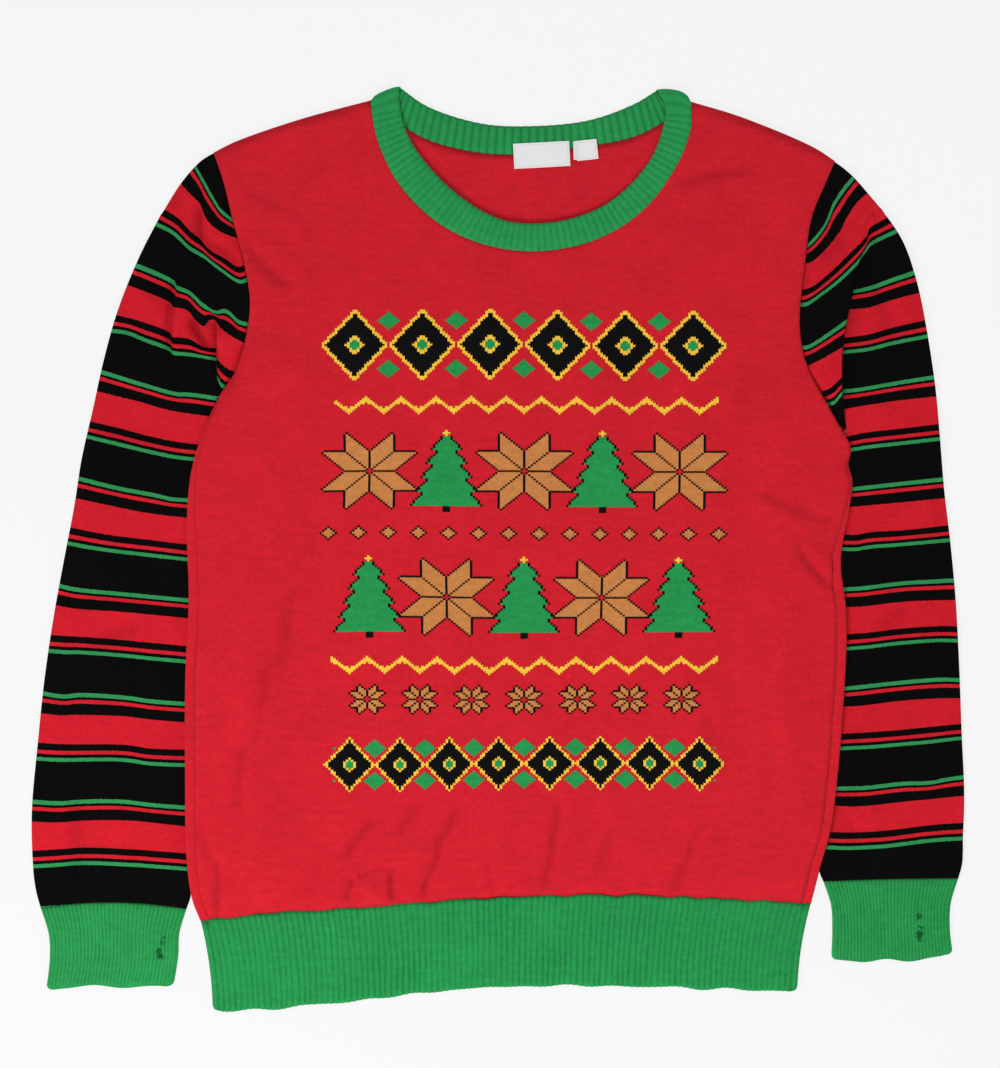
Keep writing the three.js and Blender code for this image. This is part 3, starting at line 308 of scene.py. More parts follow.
def smooth(t):
    t = np.clip(t, 0.0, 1.0)
    return t * t * (3.0 - 2.0 * t)


def mix(a, b, t):
    return a + (b - a) * t


def bell(distance, width):
    """1 at no distance, fading evenly on both sides."""
    return np.exp(-(distance / width) ** 2)


def resample(points, count):
    """Evenly spaced points along a polyline; count is the number of spans."""
    steps = np.linalg.norm(np.diff(points, axis=0), axis=1)
    length = np.concatenate([[0.0], np.cumsum(steps)])
    wanted = np.linspace(0.0, length[-1], count + 1)
    return np.stack([np.interp(wanted, length, points[:, k]) for k in range(points.shape[1])], 1)


def curve(rows, count):
    """Evenly spaced points along the smooth curve through a table's points."""
    p = np.array(rows, float)
    q = np.vstack([2 * p[0] - p[1], p, 2 * p[-1] - p[-2]])
    pieces = []
    for i in range(1, len(q) - 2):
        p0, p1, p2, p3 = q[i - 1:i + 3]
        knots = [0.0]
        for a, b in ((p0, p1), (p1, p2), (p2, p3)):
            knots.append(knots[-1] + max(math.sqrt(np.linalg.norm(b - a)), 1e-3))
        t0, t1, t2, t3 = knots
        t = np.linspace(t1, t2, 24, endpoint=False)[:, None]
        a1 = (t1 - t) / (t1 - t0) * p0 + (t - t0) / (t1 - t0) * p1
        a2 = (t2 - t) / (t2 - t1) * p1 + (t - t1) / (t2 - t1) * p2
        a3 = (t3 - t) / (t3 - t2) * p2 + (t - t2) / (t3 - t2) * p3
        b1 = (t2 - t) / (t2 - t0) * a1 + (t - t0) / (t2 - t0) * a2
        b2 = (t3 - t) / (t3 - t1) * a2 + (t - t1) / (t3 - t1) * a3
        pieces.append((t2 - t) / (t2 - t1) * b1 + (t - t1) / (t2 - t1) * b2)
    pieces.append(p[-1:])
    return resample(np.vstack(pieces), count)


def offset(points, distance):
    """The polyline moved sideways in plan; a positive distance goes to its left."""
    along = np.gradient(points[:, :2], axis=0)
    along /= np.linalg.norm(along, axis=1)[:, None]
    moved = points.copy()
    moved[:, 0] -= along[:, 1] * distance
    moved[:, 1] += along[:, 0] * distance
    return moved


def field(x, y, scale, seed):
    """Smooth seeded noise from -1 to 1 over the plan."""
    lattice = np.random.default_rng(seed).uniform(-1, 1, (97, 97))
    gx, gy = np.asarray(x) / scale + 48.0, np.asarray(y) / scale + 48.0
    i, j = np.floor(gx).astype(int), np.floor(gy).astype(int)
    fx, fy = smooth(gx - i), smooth(gy - j)
    i, j = i % 96, j % 96
    low = mix(lattice[i, j], lattice[i + 1, j], fx)
    high = mix(lattice[i, j + 1], lattice[i + 1, j + 1], fx)
    return mix(low, high, fy)


def by_line(x, y, start, end):
    """Share along a line, distance to the right of it, and its length."""
    (x0, y0), (x1, y1) = start, end
    dx, dy = x1 - x0, y1 - y0
    length = math.hypot(dx, dy)
    along = ((x - x0) * dx + (y - y0) * dy) / length ** 2
    return along, ((x - x0) * dy - (y - y0) * dx) / length, length


def creases(x, y, table):
    """Height of the listed folds; each bends a little to both sides of its line."""
    total = np.zeros_like(x, dtype=float)
    for start, end, width, height in table:
        along, aside, length = by_line(x, y, start, end)
        bend = 0.06 * length * np.sin(math.pi * along + start[0])
        taper = smooth((along + 0.12) / 0.35) * smooth((1.12 - along) / 0.35)
        total += height * taper * bell(aside - bend, width)
    return total


def tucks(x, y, table):
    """Depth of one-sided tucks; each line is given from its upper end to its lower one."""
    total = np.zeros_like(x, dtype=float)
    for start, end, width, depth in table:
        along, aside, _ = by_line(x, y, start, end)
        taper = smooth((along + 0.05) / 0.3) * smooth((1.05 - along) / 0.25)
        total += depth * taper * np.exp(-np.abs(aside) / width) * smooth((aside + 0.6) / 1.2)
    return total


def rounding(distance):
    """How far a rounded corner's edge lies in at a distance from the corner."""
    near = np.clip(1 - distance / HEM_ROUND, 0, 1)
    return HEM_ROUND * (1 - np.sqrt(1 - near ** 2))


def wobble(s, seed, wave, size):
    """A seeded, uneven line of ripples along a length."""
    rng = np.random.default_rng(seed)
    total = np.zeros_like(s, dtype=float)
    for _ in range(5):
        total += np.sin(s * 2 * math.pi / (wave * rng.uniform(0.55, 1.6)) + rng.uniform(0, 6.28))
    return total * size / 2.4


def hem_ripple(x):
    """The hem seam's uneven line, shared by the body and the hem."""
    return wobble(x, 5, 34.0, 0.8)


# Materials

LINEAR = {
    "red": (0.553, 0.0118, 0.0222, 1),
    "green": (0.0170, 0.268, 0.0675, 1),
    "cuff_green": (0.0212, 0.286, 0.0720, 1),
    "neck_green": (0.0205, 0.290, 0.0780, 1),
    "stripe_green": (0.0280, 0.250, 0.0760, 1),
    "black": (0.0029, 0.0026, 0.0026, 1),
    "gold": (0.850, 0.500, 0.045, 1),
    "tan": (0.520, 0.200, 0.058, 1),
    "label": (0.810, 0.810, 0.820, 1),
    "thread": (0.006, 0.110, 0.035, 1),
    "floor": (0.120, 0.120, 0.120, 1),
}


STITCH_DEEP = 0.00022  # depths of the bumps, in metres
FUZZ_DEEP = 0.00025
WARP, WEFT = 0.0007, 0.0005    # spacing of a label's yarns, in metres


class Graph:
    """A few words for building a material's nodes."""

    def __init__(self, name):
        self.material = bpy.data.materials.new(name)
        self.material.use_nodes = True
        self.nodes = self.material.node_tree.nodes
        self.links = self.material.node_tree.links
        self.shader = self.nodes["Principled BSDF"]

    def put(self, socket, value):
        if isinstance(value, bpy.types.NodeSocket):
            self.links.new(value, socket)
        else:
            socket.default_value = value

    def math(self, operation, *values):
        node = self.nodes.new("ShaderNodeMath")
        node.operation = operation
        for socket, value in zip(node.inputs, values):
            self.put(socket, value)
        return node.outputs[0]

    def attribute(self, name):
        node = self.nodes.new("ShaderNodeAttribute")
        node.attribute_name = name
        return node.outputs["Fac"]

    def uv(self):
        node = self.nodes.new("ShaderNodeUVMap")
        node.uv_map = "knit"
        split = self.nodes.new("ShaderNodeSeparateXYZ")
        self.links.new(node.outputs[0], split.inputs[0])
        return node.outputs[0], split.outputs[0], split.outputs[1]

    def noise(self, vector, scale, detail, rough=0.5):
        node = self.nodes.new("ShaderNodeTexNoise")
        self.links.new(vector, node.inputs["Vector"])
        node.inputs["Scale"].default_value = scale
        node.inputs["Detail"].default_value = detail
        node.inputs["Roughness"].default_value = rough
        return node.outputs["Fac"]

    def scaled(self, vector, factors):
        node = self.nodes.new("ShaderNodeVectorMath")
        node.operation = "MULTIPLY"
        self.links.new(vector, node.inputs[0])
        node.inputs[1].default_value = factors
        return node.outputs[0]

    def steps(self, value, stops):
        """Colours that change at once at each stop."""
        node = self.nodes.new("ShaderNodeValToRGB")
        ramp = node.color_ramp
        ramp.interpolation = "CONSTANT"
        while len(ramp.elements) < len(stops):
            ramp.elements.new(1.0)
        for element, (place, _) in zip(ramp.elements, stops):
            element.position = place
        for element, (_, colour) in zip(ramp.elements, stops):
            element.color = colour
        self.links.new(value, node.inputs[0])
        return node.outputs[0]

    def toned(self, colour, gain):
        node = self.nodes.new("ShaderNodeVectorMath")
        node.operation = "SCALE"
        if isinstance(colour, bpy.types.NodeSocket):
            self.links.new(colour, node.inputs[0])
        else:
            node.inputs[0].default_value = colour[:3]
        self.put(node.inputs["Scale"], gain)
        return node.outputs[0]

    def bump(self, height, distance, strength, under=None):
        node = self.nodes.new("ShaderNodeBump")
        node.inputs["Strength"].default_value = strength
        node.inputs["Distance"].default_value = distance
        self.links.new(height, node.inputs["Height"])
        if under is not None:
            self.links.new(under, node.inputs["Normal"])
        return node.outputs[0]


def stitch_height(g, u, v, wide, tall):
    """Height of knit stitches: rows of small V shapes. u and v are in metres of cloth."""
    across = g.math("FRACT", g.math("DIVIDE", u, wide))
    aside = g.math("ABSOLUTE", g.math("SUBTRACT", across, 0.5))
    slant = g.math("MULTIPLY_ADD", aside, 1.1, g.math("DIVIDE", v, tall))
    course = g.math("SINE", g.math("MULTIPLY", slant, 2 * math.pi))
    leg = g.math("SINE", g.math("MULTIPLY", aside, 2 * math.pi))
    return g.math("MULTIPLY_ADD", course, 0.35, leg)


def cloth_material(name, colour, bump, mottle, stitch=(0.0014, 0.0011), deep=0.55):
    """Knitted cotton: stitches, fuzz, a worn mottle, and painted shade in seams and troughs. It is
    striped where no colour is given."""
    striped = colour is None
    g = Graph(name)
    vector, u, v = g.uv()
    height = stitch_height(g, u, v, *stitch)
    fuzz = g.noise(vector, 2600.0, 3.0, 0.6)
    mottled = g.noise(vector, 300.0, 2.0, 0.5)
    broad = g.noise(vector, 26.0, 3.0, 0.55)
    streak = g.noise(g.scaled(vector, (0.35, 1.2, 1.0)), 190.0, 3.0, 0.6)
    if striped:
        course = g.attribute("course")
        ragged = g.math("MULTIPLY_ADD", g.noise(vector, 520.0, 1.0), 0.010, -0.005)
        place = g.math("FRACT", g.math("ADD", course, ragged))
        base = g.steps(place, [(start, LINEAR[shown]) for start, shown in STRIPE_STOPS])
    else:
        base = LINEAR[colour]
    speckle = g.math("MULTIPLY_ADD", mottled, mottle * 2.0, 1.0 - mottle)
    worn = g.math("MULTIPLY_ADD", broad, 0.26, 0.87)
    lines = g.math("MULTIPLY_ADD", streak, mottle * 2.0, 1.0 - mottle)
    gain = g.math("MULTIPLY", g.math("MULTIPLY", speckle, worn), lines)
    # Painted shade: where the shade mark is full, the colour is darkened to the gain deep
    painted_shade = g.math("MULTIPLY_ADD", g.attribute("shade"), deep - 1.0, 1.0)
    g.links.new(g.toned(base, g.math("MULTIPLY", gain, painted_shade)), g.shader.inputs["Base Color"])
    under = g.bump(height, STITCH_DEEP, bump)
    g.links.new(g.bump(fuzz, FUZZ_DEEP, bump, under), g.shader.inputs["Normal"])
    g.shader.inputs["Roughness"].default_value = 0.94
    g.shader.inputs["Specular IOR Level"].default_value = 0.02 if striped else 0.06
    g.shader.inputs["Sheen Weight"].default_value = 0.01 if striped else 0.04
    g.shader.inputs["Sheen Roughness"].default_value = 0.55
    return g.material


def thread_material(name, colour, roughness, grain):
    """Spun thread with a fine grain."""
    g = Graph(name)
    coords = g.nodes.new("ShaderNodeTexCoord").outputs["Object"]
    fine = g.noise(coords, 900.0, 3.0, 0.6)
    gain = g.math("MULTIPLY_ADD", fine, grain * 2.0, 1.0 - grain)
    g.links.new(g.toned(LINEAR[colour], gain), g.shader.inputs["Base Color"])
    g.links.new(g.bump(fine, 0.0001, 0.3), g.shader.inputs["Normal"])
    g.shader.inputs["Roughness"].default_value = roughness
    g.shader.inputs["Specular IOR Level"].default_value = 0.2
    return g.material


def woven_material(name, colour):
    """A smooth narrow-woven tape with a line round its edge."""
    g = Graph(name)
    vector, u, v = g.uv()
    warp = g.math("SINE", g.math("MULTIPLY", u, 2 * math.pi / WARP))
    weft = g.math("SINE", g.math("MULTIPLY", v, 2 * math.pi / WEFT))
    weave = g.math("MULTIPLY", warp, weft)
    fine = g.noise(vector, 1800.0, 3.0, 0.6)
    gain = g.math("MULTIPLY_ADD", weave, 0.035, g.math("MULTIPLY_ADD", fine, 0.12, 0.90))
    line = g.math("MULTIPLY_ADD", g.attribute("shade"), -0.14, 1.0)
    g.links.new(g.toned(LINEAR[colour], g.math("MULTIPLY", gain, line)), g.shader.inputs["Base Color"])
    g.links.new(g.bump(weave, 0.00006, 0.5), g.shader.inputs["Normal"])
    g.shader.inputs["Roughness"].default_value = 0.6
    g.shader.inputs["Specular IOR Level"].default_value = 0.25
    return g.material


JERSEY = cloth_material("jersey_red", "red", 0.2, 0.18)
STRIPED = cloth_material("jersey_striped", None, 0.2, 0.18)
RIB, CUFF_RIB, NECK_RIB = [
    cloth_material(name, colour, 0.3, 0.19, stitch=(0.0016, 0.0013), deep=0.60)
    for name, colour in (("rib_green", "green"), ("rib_green_cuff", "cuff_green"),
                         ("rib_green_neck", "neck_green"))]

# Meshes


def quads(rows, columns, ring):
    """Corner numbers of a grid's faces."""
    i = np.arange(rows - 1)[:, None]
    j = np.arange(columns if ring else columns - 1)[None, :]
    after = (j + 1) % columns
    a, b = i * columns + j, i * columns + after
    return np.stack([a, b, b + columns, a + columns], -1).reshape(-1, 4)


def rim(first, second):
    """Faces between two lists of corner numbers."""
    return np.stack([first[:-1], first[1:], second[1:], second[:-1]], 1)


def linked(name, data):
    """A new object in the scene."""
    made = bpy.data.objects.new(name, data)
    bpy.context.scene.collection.objects.link(made)
    return made


def mesh_object(name, points, faces, materials, uv, marks):
    """An object from points in millimetres."""
    points = (np.asarray(points) + ORIGIN) * MM
    corners = points[faces]
    first, second = corners[:, 1] - corners[:, 0], corners[:, 2] - corners[:, 0]
    volume = np.einsum("ij,ij->i", corners[:, 0], np.cross(first, second)).sum()
    second_half = np.cross(corners[:, 2] - corners[:, 0], corners[:, 3] - corners[:, 0])
    volume += np.einsum("ij,ij->i", corners[:, 0], second_half).sum()
    if volume < 0:
        faces = faces[:, ::-1]
    mesh = bpy.data.meshes.new(name)
    mesh.vertices.add(len(points))
    mesh.vertices.foreach_set("co", points.astype(np.float32).ravel())
    mesh.loops.add(faces.size)
    mesh.loops.foreach_set("vertex_index", faces.astype(np.int32).ravel())
    mesh.polygons.add(len(faces))
    mesh.polygons.foreach_set("loop_start", np.arange(0, faces.size, 4, dtype=np.int32))
    mesh.polygons.foreach_set("use_smooth", np.ones(len(faces), bool))
    mesh.update(calc_edges=True)
    layer = mesh.uv_layers.new(name="knit")
    layer.data.foreach_set("uv", (np.asarray(uv)[faces.ravel()] * MM).astype(np.float32).ravel())
    for mark, values in marks.items():
        attribute = mesh.attributes.new(mark, "FLOAT", "POINT")
        attribute.data.foreach_set("value", np.asarray(values, np.float32))
    for material in materials:
        mesh.materials.append(material)
    return linked(name, mesh)


def shell(name, outer, inner, material, uv, shade, course=None, ring=False):
    """A closed wall between two grids of points of the same shape, with a place on the cloth, a
    shade and, where it is striped, a place in the striping for every point of a grid."""
    rows, columns = outer.shape[:2]
    count = rows * columns
    faces = [quads(rows, columns, ring), quads(rows, columns, ring)[:, ::-1] + count]
    index = np.arange(count).reshape(rows, columns)
    if ring:
        ends = [np.append(index[0], index[0][0]), np.append(index[-1], index[-1][0])[::-1]]
    else:
        ends = [index[0], index[-1][::-1], index[::-1, 0], index[:, -1]]
    faces += [rim(line, line + count)[:, ::-1] for line in ends]
    points = np.vstack([outer.reshape(-1, 3), inner.reshape(-1, 3)])
    places = np.vstack([uv.reshape(-1, 2)] * 2)
    marks = {"shade": np.clip(shade, 0, 1)}
    if course is not None:
        marks["course"] = course
    values = {mark: np.concatenate([v.ravel()] * 2) for mark, v in marks.items()}
    return mesh_object(name, points, np.vstack(faces), [material], places, values)


def stack(xy, z):
    return np.concatenate([xy, np.asarray(z)[..., None]], -1)


# Body

ROWS_SIDE = 150
ROWS_ARM = 84
YOKE_ROW = ROWS_SIDE + int(ROWS_ARM * YOKE_SHARE)
HEM_DIP = 1.1          # how far the panel goes down into the hem seam
NECK_DIP = 0.9         # and into the neck seam
SIDE_DIP = 0.25        # and into its other seams
PUCKER = 0.30          # height of the puckers beside those
PUCKER_LENGTH = 8.5
CREASE_SHADE = 0.24    # how much painted shade darkens a trough, for each mm of its depth
SHOULDER_SEAM_IN = 3.6 # from the shoulder's edge to the shoulder seam
SHOULDER_COLUMNS = 30  # of the front; the neckline lies between its two shoulders
NECK_COLUMNS = 130
CAD_ROWS_SIDE = 13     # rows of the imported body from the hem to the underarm
SEAM_TURN_ROWS = 3     # packed rows over which the side seam comes round onto the front


def body_edges(rows_side, rows_arm):
    left = np.vstack([curve(SIDE_LEFT, rows_side), curve(ARMHOLE_LEFT, rows_arm)[1:]])
    right = np.vstack([curve(SIDE_RIGHT, rows_side), curve(ARMHOLE_RIGHT, rows_arm)[1:]])
    return left, right


def lift_rows(left, right, rows_side, rows_arm):
    """Height and flat width of the body's lifted sides at each row."""
    up = (left[:, 1] + right[:, 1]) / 2
    share = (np.arange(len(left)) - rows_side) / rows_arm
    below = LIFT * smooth((up - LIFT_START) / LIFT_RUN)
    above = LIFT * (1 - smooth((share - ARMHOLE_LIFT_END) / ARMHOLE_LIFT_RUN))
    high = np.where(share <= 0, below, above)
    flat = np.where(share <= 0, SIDE_FLAT, mix(SIDE_FLAT, ARMHOLE_FLAT, smooth(share / 0.3)))
    return high, flat


def coons(bottom, top, left, right, shares):
    """A grid across an outline of four sides."""
    u = shares[None, :, None]
    v = np.linspace(0, 1, len(left))[:, None, None]
    across = left[:, None] * (1 - u) + right[:, None] * u
    upward = bottom[None] * (1 - v) + top[None] * v
    low = bottom[0] * (1 - u) + bottom[-1] * u
    high = top[0] * (1 - u) + top[-1] * u
    return across + upward - (low * (1 - v) + high * v)


def table_height(rows, x, spans=400):
    fine = curve(rows, spans)
    return np.interp(x, fine[:, 0], fine[:, 1])


def panel_plan(neck, left, right, yoke_row, columns_shoulder, columns_neck):
    top = np.vstack([curve(SHOULDER_LEFT, columns_shoulder), curve(neck, columns_neck)[1:-1],
                     curve(SHOULDER_RIGHT, columns_shoulder)])
    spacing = np.maximum(np.diff(top[:, 0]), 1.2)
    shares = np.concatenate([[0.0], np.cumsum(spacing)]) / spacing.sum()
    x = mix(left[0, 0], right[0, 0], shares)
    bottom = np.stack([x, table_height(HEM_SEAM, x)], 1)
    yoke = left[yoke_row] * (1 - shares[:, None]) + right[yoke_row] * shares[:, None]
    lower = coons(bottom, yoke, left[:yoke_row + 1], right[:yoke_row + 1], shares)
    upper = coons(yoke, top, left[yoke_row:], right[yoke_row:], shares)
    return np.vstack([lower, upper[1:]])


def relaxed(plan, start):
    """The grid with its points above a row spread evenly, which keeps the columns beside the
    steep ends of the neckline from crossing."""
    held = np.clip((np.arange(1, len(plan) - 1) - start) / 10.0, 0, 1)[:, None, None]
    for _ in range(200):
        middle = (plan[:-2, 1:-1] + plan[2:, 1:-1] + plan[1:-1, :-2] + plan[1:-1, 2:]) / 4
        plan[1:-1, 1:-1] += (middle - plan[1:-1, 1:-1]) * held
    return plan


def relief(x, y):
    """The front's soft unevenness."""
    broad = 0.60 * field(x, y, 95.0, 11) + 0.40 * field(x, y, 46.0, 12)
    small = 0.20 * field(x, y, 17.0, 13) + 0.08 * field(x, y, 8.5, 14)
    return 0.6 + broad + small + creases(x, y, FRONT_CREASES)


def side_run(row):
    return EDGE_RUN + (SIDE_TURN - EDGE_RUN) * smooth((CAD_ROWS_SIDE - 1 - row) / SEAM_TURN_ROWS)


def body_front():
    left, right = body_edges(ROWS_SIDE, ROWS_ARM)
    plan = panel_plan(NECK_FRONT, left, right, YOKE_ROW, SHOULDER_COLUMNS, NECK_COLUMNS)
    plan = relaxed(plan, ROWS_SIDE)
    high, flat = lift_rows(left, right, ROWS_SIDE, ROWS_ARM)
    row = np.arange(len(left)) * CAD_ROWS_SIDE / ROWS_SIDE
    inset = TUBE_HEIGHT / 2 + side_run(row) - 0.25
    share = (np.arange(len(left)) - ROWS_SIDE) / ROWS_ARM
    inset = mix(inset, 0.0, smooth((row - (CAD_ROWS_SIDE - 1)) / 1.4))
    inset[share > 0.06] = 0.0
    xl, xr = left[:, 0][:, None], right[:, 0][:, None]
    x = plan[..., 0]
    room = (xr - xl - 2 * inset[:, None]) / (xr - xl)
    x = xl + inset[:, None] + (x - xl) * room
    y = plan[..., 1]
    # The hem seam is uneven, and the panel's lowest rows follow it
    low = smooth(1 - np.arange(len(left)) / 12.0)[:, None]
    y = y + low * hem_ripple(x)
    nearest = np.minimum(x - xl, xr - x)
    lift = high[:, None] * (1 - smooth((nearest - flat[:, None]) / SIDE_SLOPE))
    top = FRONT_LEVEL + CLOTH + lift + relief(x, y)
    # Seams: the cloth goes down into each, and puckers a little beside it
    edge = np.minimum(x - x[:, :1], x[:, -1:] - x)
    along = y + 0.3 * x
    top -= SIDE_DIP * bell(edge, 1.3)
    ripple = np.sin(along * 2 * math.pi / PUCKER_LENGTH + 2 * field(x, y, 30.0, 21))
    top += PUCKER * ripple * bell(edge, 9.0)
    hem = y - y[:1]
    top -= HEM_DIP * bell(hem, 2.6)
    neck = np.abs(y[-1:] - y)
    middle = np.zeros(x.shape[1], bool)
    middle[SHOULDER_COLUMNS:SHOULDER_COLUMNS + NECK_COLUMNS + 1] = True
    top -= np.where(middle[None], NECK_DIP * bell(neck, 3.0), 0.0)
    # Below each shoulder's edge runs the shoulder seam; the cloth past it turns down
    groove = np.where(middle[None], 0.0, bell(neck - SHOULDER_SEAM_IN, 1.1))
    top -= 0.7 * groove
    top -= np.where(middle[None], 0.0, 1.1 * smooth(1 - neck / 2.4))
    # Painted shade in the side seams, the shoulder groove, the hem seam, the crease troughs and along the
    # neck seam
    shade = 0.06 * bell(edge, 0.8) + 0.55 * groove + 0.5 * bell(hem, 1.3)
    shade += CREASE_SHADE * np.clip(-creases(x, y, FRONT_CREASES), 0, 2.5)
    shade += np.where(middle[None], 0.5 * bell(neck, 2.0), 0.0)
    outer = np.stack([x, y, top], -1)
    inner = np.stack([x, y, top - SHELL], -1)
    uv = np.stack([x, y], -1)
    return shell("front_panel", outer, inner, JERSEY, uv, shade)


def rib_wave(phase):
    """Height of a rib from 0 to 1; each has a round back and a narrow trough at its sides."""
    place = phase - np.floor(phase)
    return 1 - np.abs(2 * place - 1) ** 2.6


def turned(left, right, plan, turns, runs, lift_of, half, pitch=None, dip=0.0):
    """A layer on the floor with both side edges turned up and over onto the front: two skins,
    the place on the cloth and the rib height at each point."""
    outer, inner, uv, ribs = [], [], [], []
    for i in range(len(left)):
        angle = max(turns[i] * math.pi, 0.001)
        radius = EDGE_CURVE / angle
        phi = np.linspace(0, angle, 13)
        out, high = radius * np.sin(phi), radius * (1 - np.cos(phi))
        run = runs[i] * np.linspace(0, 1, 13 if pitch else 7)[1:]
        out = np.concatenate([out, out[-1] + run * math.cos(angle)])
        high = np.concatenate([high, high[-1] + run * math.sin(angle)])
        phi = np.concatenate([phi, np.full(len(run), angle)])
        cloth = np.concatenate([np.linspace(0, EDGE_CURVE, 13), EDGE_CURVE + run])
        reach = float(np.max(out + np.sin(phi) * half))
        fall = dip * turns[i] * bell(cloth[-1] - cloth, 2.2)
        sides = []
        for edge, sign in ((left[i], 1), (right[i], -1)):
            x = edge[0] + sign * (reach - out)
            z = lift_of(x, i) + half + high - fall
            face = np.stack([-sign * np.sin(phi), np.zeros_like(phi), -np.cos(phi)], 1)
            centre = np.stack([x, np.full_like(x, edge[1]), z], 1)
            place = np.stack([edge[0] + sign * (reach - cloth), np.full_like(x, edge[1])], 1)
            sides.append((centre, face, place))
        middle = plan[i][1:-1]
        z = lift_of(middle[:, 0], i) + half
        centre = np.column_stack([middle, z])
        face = np.tile([0.0, 0.0, -1.0], (len(middle), 1))
        centre = np.vstack([sides[0][0][::-1], centre, sides[1][0]])
        face = np.vstack([sides[0][1][::-1], face, sides[1][1]])
        place = np.vstack([sides[0][2][::-1], middle, sides[1][2]])
        rib = np.zeros(len(place))
        if pitch:
            side_rib = rib_wave((cloth[-1] - cloth) / pitch + 0.5)
            rib = np.concatenate([side_rib[::-1], rib_wave(middle[:, 0] / pitch), side_rib])
        # Ribs stand inwards from the outer skin's level on the floor and outwards on the turn
        rise = (rib[:, None] - 1) * (RIB_RISE * 0.7 if pitch else 0)
        outer.append(centre + face * (half + rise))
        inner.append(centre - face * half)
        uv.append(place)
        ribs.append(rib)
    return np.array(outer), np.array(inner), np.array(uv), np.array(ribs)


def body_back():
    rows_side, rows_arm = 90, 40
    columns_shoulder, columns_neck = 14, 60
    turn_raised = 0.45
    left, right = body_edges(rows_side, rows_arm)
    yoke_row = rows_side + int(rows_arm * YOKE_SHARE)
    plan = panel_plan(NECK_BACK, left, right, yoke_row, columns_shoulder, columns_neck)
    high, flat = lift_rows(left, right, rows_side, rows_arm)
    row = np.arange(len(left)) * CAD_ROWS_SIDE / rows_side
    turns = smooth((CAD_ROWS_SIDE - row) / 0.9)
    runs = np.where(row < CAD_ROWS_SIDE, side_run(row), EDGE_RUN)

    def lift_of(x, i):
        nearest = np.minimum(x - left[i, 0], right[i, 0] - x)
        return high[i] * (1 - smooth((nearest - flat[i]) / SIDE_SLOPE))

    outer, inner, uv, _ = turned(left, right, plan, turns, runs, lift_of, SHELL / 2, dip=0.3)
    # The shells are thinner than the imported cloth; the turned edge keeps the front's level
    turn_top = np.clip((outer[..., 2] - inner[..., 2]) / SHELL, 0, 1)[..., None]
    raised = turn_top * np.array([0, 0, turn_raised])
    inside = 0.25 * field(uv[..., 0], uv[..., 1], 40.0, 31) + 0.35 * field(uv[..., 0], uv[..., 1], 80.0, 32)
    inside -= 0.8 * bell(uv[..., 0] - 14.0, 4.0)
    neck = smooth((uv[..., 1] - 225.0) / 40.0)
    for skin in (outer, inner):
        skin += raised
        skin[..., 2] += np.maximum(inside + 0.5, -0.1) * neck * (1 - turn_top[..., 0])
    # Painted shade along the back neck seam, where the neck band meets the back panel
    shade = np.zeros(outer.shape[:2])
    seam = np.abs(uv[..., 1] - table_height(NECK_BACK, uv[..., 0]))
    shade += 0.5 * bell(seam, 2.4)
    return shell("back_panel", inner, outer, JERSEY, uv, shade)


# Hem


def hem_row(share, spans, inset):
    """The hem's outline at a share of its height, from its seam down."""
    bend = HEM_BEND * (1 - ((share - HEM_WAIST) / HEM_WAIST) ** 2)
    upper, lower = curve(HEM_SEAM, spans), curve(HEM_EDGE, spans)
    u = np.linspace(0, 1, spans + 1)
    edge = mix(upper, lower, share)
    shift = mix(inset, -inset, u)
    edge[:, 0] += bend * mix(1, -1, u) + shift
    slope = table_height(HEM_SEAM, upper[:, 0] + shift) - upper[:, 1]
    edge[:, 1] += slope * (1 - share)
    edge[:, 1] += hem_ripple(edge[:, 0]) * smooth(1 - share / 0.3)
    edge[:, 1] += wobble(edge[:, 0], 8, 46.0, 0.7) * smooth((share - 0.6) / 0.4)
    return edge


def hem_height_below(share):
    """Distance from the hem's bottom edge, near enough for its rounded corners."""
    return (1 - share) * (HEM_SEAM[0][1] - HEM_EDGE[0][1])


def hem_front():
    rows = 26
    steps = 8
    spans = HEM_RIBS * steps
    shares = np.linspace(0, 1, rows)
    grid = np.array([hem_row(share, spans, TUBE_HEIGHT / 2 + SIDE_TURN - 0.5) for share in shares])
    x, y = grid[..., 0], grid[..., 1]
    phase = np.arange(spans + 1)[None, :] / steps
    held = np.minimum(1, phase) * np.minimum(1, HEM_RIBS - phase)
    phase = phase + 0.5 + 0.14 * field(x * 3, y, 20.0, 41) * held
    depth = 0.78 + 0.16 * field(x, y, 25.0, 42) + 0.10 * field(x * 2, y, 9.0, 45)
    wave = rib_wave(phase)
    body = 0.35 * field(x, y, 60.0, 43) + 0.15 * field(x, y, 22.0, 44)
    ends = shares[:, None]
    level = FRONT_LEVEL + RIB_WALL + body
    top = level + RIB_RISE * depth * wave
    top -= 0.35 * bell(ends, 0.03) + 0.9 * bell(1 - ends, 0.03)
    y = y - 0.35 * wave * smooth((ends - 0.97) / 0.03)
    # Painted shade in the rib troughs, of uneven strength, and along the hem seam at the top
    uneven = 0.66 + 0.24 * field(x * 2, y, 8.0, 46) + 0.22 * field(x, y, 36.0, 47)
    shade = (1 - wave) * uneven + 0.25 * bell(ends, 0.015)
    outer = np.stack([x, y, top], -1)
    inner = np.stack([x, y, np.minimum(level - SHELL, top - 0.5)], -1)
    uv = np.stack([x, y], -1)
    return shell("hem_band_front", outer, inner, RIB, uv, shade)


